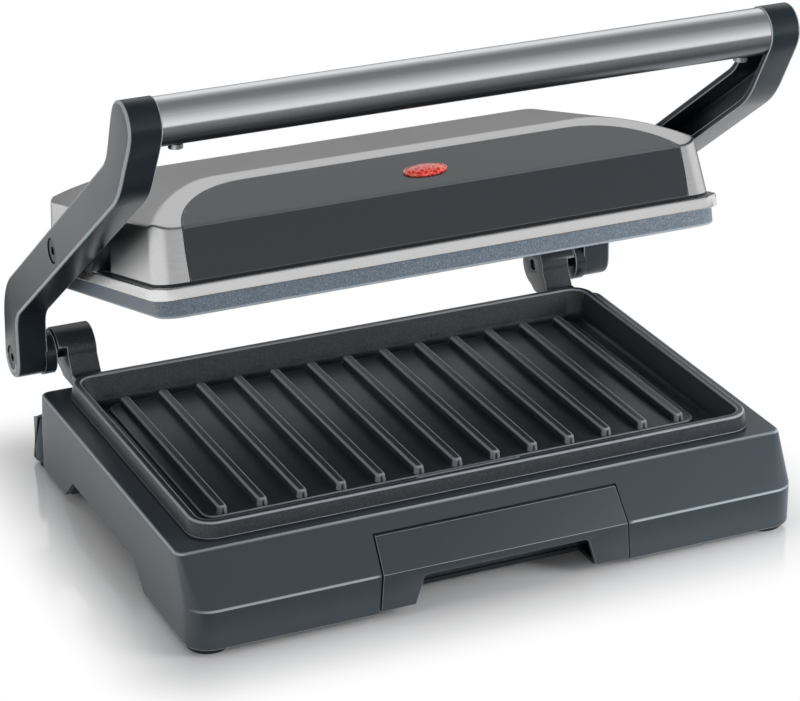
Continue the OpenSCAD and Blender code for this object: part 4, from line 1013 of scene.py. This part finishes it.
# %% Shell and front panel from one surface
SHEET = 0.9                         # thickness of the wall


def lid_piece(name, node_slot, finish=None):
    """The lid's surface as one piece, given a wall towards the inside."""
    piece = piece_from(name, [lid_grid], "lid", node_slot, finish)
    wall = piece.modifiers.new("wall", "SOLIDIFY")
    wall.thickness, wall.offset, wall.use_even_offset = SHEET * MM, -1, True
    applied(piece)
    settle(piece, 28)
    return piece


PANEL_HW, PANEL_Y, PANEL_R = 106.5, 33.5, 37.0


def panel_outline(grow):
    """Plan of the front panel: a straight back edge that bends down to straight ends."""
    cx, cy, r = PANEL_HW + 1 - PANEL_R, PANEL_Y - PANEL_R, PANEL_R + grow
    first = math.acos((PANEL_HW + grow - cx) / r)
    arc = [cx, cy] + r * circle(np.linspace(first, math.pi / 2, 24))
    right = np.concatenate([[[PANEL_HW + grow, -5.0]], arc])
    return np.concatenate([right, right[::-1] * [-1, 1]])


def lid_prism(outline, start=-6.0, end=60.0, axis=2):
    """A cutter drawn in the lid's own frame."""
    block = prism(outline, start, end, axis)
    corners = on_lid(read(block.data.vertices, "co", 3) / MM) * MM
    block.data.vertices.foreach_set("co", corners.ravel())
    return block


shell = lid_piece("steel_shell", "lid_steel")
cut(shell, lid_prism(panel_outline(0.25)))
panel = lid_piece("front_panel", "slate_plastic", panel_plastic)
cut(panel, lid_prism(panel_outline(0.0)), "INTERSECT")
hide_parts("lid_shell")
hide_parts("lid_front_panel")
print("shell faces:", len(shell.data.polygons), "panel faces:", len(panel.data.polygons))

# %% Slots for the pivot bosses
BOSS_R, BOSS_Y = 11.05, PIVOT_IN_LID[1]
slot_line = np.concatenate([PIVOT_IN_LID[1:] + BOSS_R * circle(np.linspace(0, math.pi, 25)),
                            [[BOSS_Y - BOSS_R, 0], [BOSS_Y + BOSS_R, 0]]])
cut(shell, lid_prism(slot_line, -LID_HW - 2, LID_HW + 2, axis=0))

# %% [markdown]
# ### Band and upper plate
# Below the lid runs a bright steel band, and below that the rim of the upper plate. Both are bands
# of rings in the lid's own frame.

# %% Band and upper plate
band_rows = softened(around(LID_HW, 0, LID_D, [
    (0, 0, 10), (0, 4.9, 10), (8, 4.9, 5), (8, 3.9, 5), (2.4, 3.9, 7.6), (2.4, 0, 7.6)]),
    [0.4, 0.9, 0.2, 0.2, 0.3, 0.3], 6, True)
band = piece_from("steel_band", [box_rings(band_rows)], "lid", "band_steel", whole=True)
UPPER_IN, UPPER_RIB = 1.84, 14      # the plate inside the band, and the ribs inside the plate
upper_mid = (LID_D - 2 * UPPER_IN) / 2
upper_rows = softened(around(LID_HW - UPPER_IN, UPPER_IN, LID_D - UPPER_IN, [
    (upper_mid, -1, 0), (3.4, -1, 6.2), (3, -7.1, 6.5), (0, -7.1, 9.5), (0, 0, 9.5), (7.2, 0, 6.5),
    (7.2, 2, 6.5), (upper_mid, 2, 0)]), [0, 1.2, 0.9, 1.2, 0.2, 0.2, 0.3, 0], 6)
upper_ribs = rib_grids(UPPER_IN + UPPER_RIB, LID_D - UPPER_IN - UPPER_RIB, -0.7, -4.3)
upper_plate = piece_from("upper_plate", [box_rings(upper_rows)] + upper_ribs, "lid",
                         "coated_cast_aluminium", upper_coat)
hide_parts("lid_skirt")
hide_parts("upper_grill_plate")

# %% [markdown]
# ### The pilot lens
# A clear red window sits in the slope of the panel: a low dome on an oval rim.

# %% Lens
LENS_Y, LENS_W, LENS_H = 18.4, 18.5, 9.0
RIM_IN, DOME_FOOT, DOME_RISE = 0.9, 0.45, 1.35   # share of the width, then heights in mm
lip = softened([(0, -2.0), (0.99, -2.0), (1.0, 0.75), (0.93, 0.75), (RIM_IN, DOME_FOOT)],
               [0, 0.01, 0.05, 0.05, 0], 5)
inward = np.linspace(RIM_IN, 0, 15)[1:]
dome = np.stack([inward, DOME_FOOT + DOME_RISE * np.sqrt(1 - (inward / RIM_IN) ** 2)], -1)
share, level = np.concatenate([lip, dome]).T[:, :, None]
turn = np.linspace(0, 2 * math.pi, 65)[None, :-1]
x, y = share * LENS_W / 2 * np.cos(turn), share * LENS_H / 2 * np.sin(turn)
rise = math.atan(FRONT_RISE)
lens = np.stack([x, y * math.cos(rise) - level * math.sin(rise) + LENS_Y,
                 y * math.sin(rise) + level * math.cos(rise)
                 + LID_CREASE + (LENS_Y - CREASE_Y) * FRONT_RISE], -1)
window = piece_from("lens_window", [lens], "lid", "red_lens")
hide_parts("indicator_lens")

# %% [markdown]
# ## Light and floor
# Product light is large and soft. Three big panels light the grill evenly, and a small one fills
# its right side. What the steel and the glossy edges show is another matter: polished things only
# mirror their surroundings, so a photographer bends a sheet of graded paper over the set. Here
# that tent is seen by reflections alone. It is bright before and behind the grill and grey
# overhead, which gives the tube its soft bands. The floor is pale and a little glossy, and both it
# and the backdrop are simply white where the camera looks past the grill.


# %% Lamps
def softbox(name, place, aim, size, power):
    """A rectangular lamp in metres that looks from its place at its aim; mirrors don't show it."""
    lamp = bpy.data.lights.new(name, "AREA")
    lamp.shape, lamp.size, lamp.size_y, lamp.energy = "RECTANGLE", *size, power
    box = linked(name, lamp)
    box.location = place
    box.rotation_euler = (Vector(aim) - Vector(place)).to_track_quat("-Z", "Y").to_euler()
    box.visible_glossy = False


softbox("top_panel", (0.0, 0.15, 1.5), (0, 0, 0.1), (1.8, 1.2), 5.2)
softbox("left_panel", (-1.5, -0.2, 0.6), (0, 0, 0.1), (1.0, 1.0), 7)
softbox("front_panel", (-0.5, -1.6, 0.5), (0, 0, 0.1), (1.2, 0.6), 3.0)
softbox("right_panel", (0.5, -0.45, 0.25), (0.1, -0.1, 0.06), (0.3, 0.3), 3.8)


# %% The tent of graded paper
def only_mirrored(piece, finish, shader):
    """Gives a piece its shader and leaves it to reflections alone."""
    finish.feed(finish.output, {"Surface": shader})
    piece.data.materials.append(finish.material)
    piece.visible_camera = piece.visible_diffuse = False
    piece.visible_shadow = piece.visible_transmission = False


TENT_R, TENT_HW, TENT_GLOW = 1.3, 1.5, 1.1
sweep = np.linspace(0.02, math.pi - 0.02, 49)
ends = np.stack([0 * sweep, -TENT_R * np.cos(sweep), TENT_R * np.sin(sweep)], -1)
count = len(sweep)
tent = meshed("tent", np.concatenate([ends - [TENT_HW, 0, 0], ends + [TENT_HW, 0, 0]]),
              [[k, k + 1, count + k + 1, count + k] for k in range(count - 1)])
paper = Finish("graded_paper")
where = paper.node("ShaderNodeTexCoord", out="Object")
depth, height = [paper.node("ShaderNodeSeparateXYZ", {}, {"Vector": where}, axis) for axis in "YZ"]
round_it = height.reckon("ARCTAN2", depth * -1.0) * (1 / math.pi)     # 0 in front, 1 at the back
grade = paper.ramp(round_it, [(0.0, 0.8), (0.07, 0.75), (0.24, 0.42), (0.40, 0.19), (0.54, 0.17),
                              (0.64, 0.40), (0.72, 0.8), (0.86, 0.72), (0.93, 0.25), (0.97, 0.12)])
only_mirrored(tent, paper, paper.glow(grade, TENT_GLOW))

# %% Two sheets of grey felt on the floor
# One lies before the grill and darkens the underside of the tube, the other lies behind it and
# keeps the flat top of the lid grey. Only reflections see them, and only from above, so that the
# floor doesn't mirror them.
SHEET_X, SHEET_Z = (-0.2, 1.3), 0.002
for word, near, far, grey in (("front_sheet", -1.2, -0.115, 0.17),
                              ("rear_sheet", 0.22, 1.28, 0.16)):
    corners = [(SHEET_X[0], near), (SHEET_X[1], near), (SHEET_X[1], far), (SHEET_X[0], far)]
    sheet = meshed(word, [(x, y, SHEET_Z) for x, y in corners], [(0, 1, 2, 3)])
    felt = Finish(word)
    tint = felt.colours(felt.noise(felt.place(), 40), *shades((grey,) * 3, 0.1))
    below = felt.node("ShaderNodeNewGeometry", out="Backfacing")
    nothing = felt.node("ShaderNodeBsdfTransparent")
    only_mirrored(sheet, felt, felt.blend(below, felt.glow(tint), nothing))

# %% The white surroundings
scene = bpy.context.scene
scene.view_settings.view_transform = "Standard"
scene.world = bpy.data.worlds.new("surroundings")
sky = Nodes(scene.world, "World Output")
plain, white = [sky.node("ShaderNodeBackground", {}, {"Color": (1, 1, 1, 1), "Strength": strength})
                for strength in (0.25, 1.0)]
sky.feed(sky.output, {"Surface": sky.blend(sky.seen(), plain, white)})

# %% The floor
FLOOR_R, CONTACT, FADE = 3.0, (0.128, 0.096, 0), 0.045   # metres: the floor is its own
# pale self over CONTACT to both sides, and turns white to the eye over FADE beyond that
turn = np.linspace(0, 2 * math.pi, 65)[:-1]
floor = meshed("floor", np.pad(FLOOR_R * circle(turn), ((0, 0), (0, 1))), [list(range(64))])
paper = Finish("floor_paper", IOR=2.6, Base_Color=(0.92, 0.92, 0.93, 1))
paper.surface(None, 0.07 + 0.04 * paper.noise(paper.place(), 90))
beyond = paper.node("ShaderNodeTexCoord", out="Object")
for how, by in (("ABSOLUTE", {}), ("SUBTRACT", {1: CONTACT}), ("MAXIMUM", {1: (0, 0, 0)})):
    beyond = paper.node("ShaderNodeVectorMath", {"operation": how}, {0: beyond, **by})
reach = paper.node("ShaderNodeVectorMath", {"operation": "LENGTH"}, {0: beyond}, "Value")
far_off = paper.node("ShaderNodeMapRange", {"interpolation_type": "SMOOTHSTEP"},
                     {"Value": reach, "From Min": 0.0, "From Max": FADE,
                      "To Min": 0.0, "To Max": 1.0})
own = Value(paper, paper.shader.outputs[0])
shader = paper.blend(paper.seen() * far_off, own, paper.glow((1, 1, 1, 1)))
paper.feed(paper.output, {"Surface": shader})
floor.data.materials.append(paper.material)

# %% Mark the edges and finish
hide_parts("base_housing")
# The "edge" attribute written here drives the painted highlight that the finishes lay along the
# edges.
edged = (base_skin, rear_ledge, lower_plate, plate_ribs, pads, tray, lugs, panel, upper_plate,
         *arm_pieces)
print("share of points on edges:", {piece.name: round(mark_edges(piece), 3) for piece in edged})
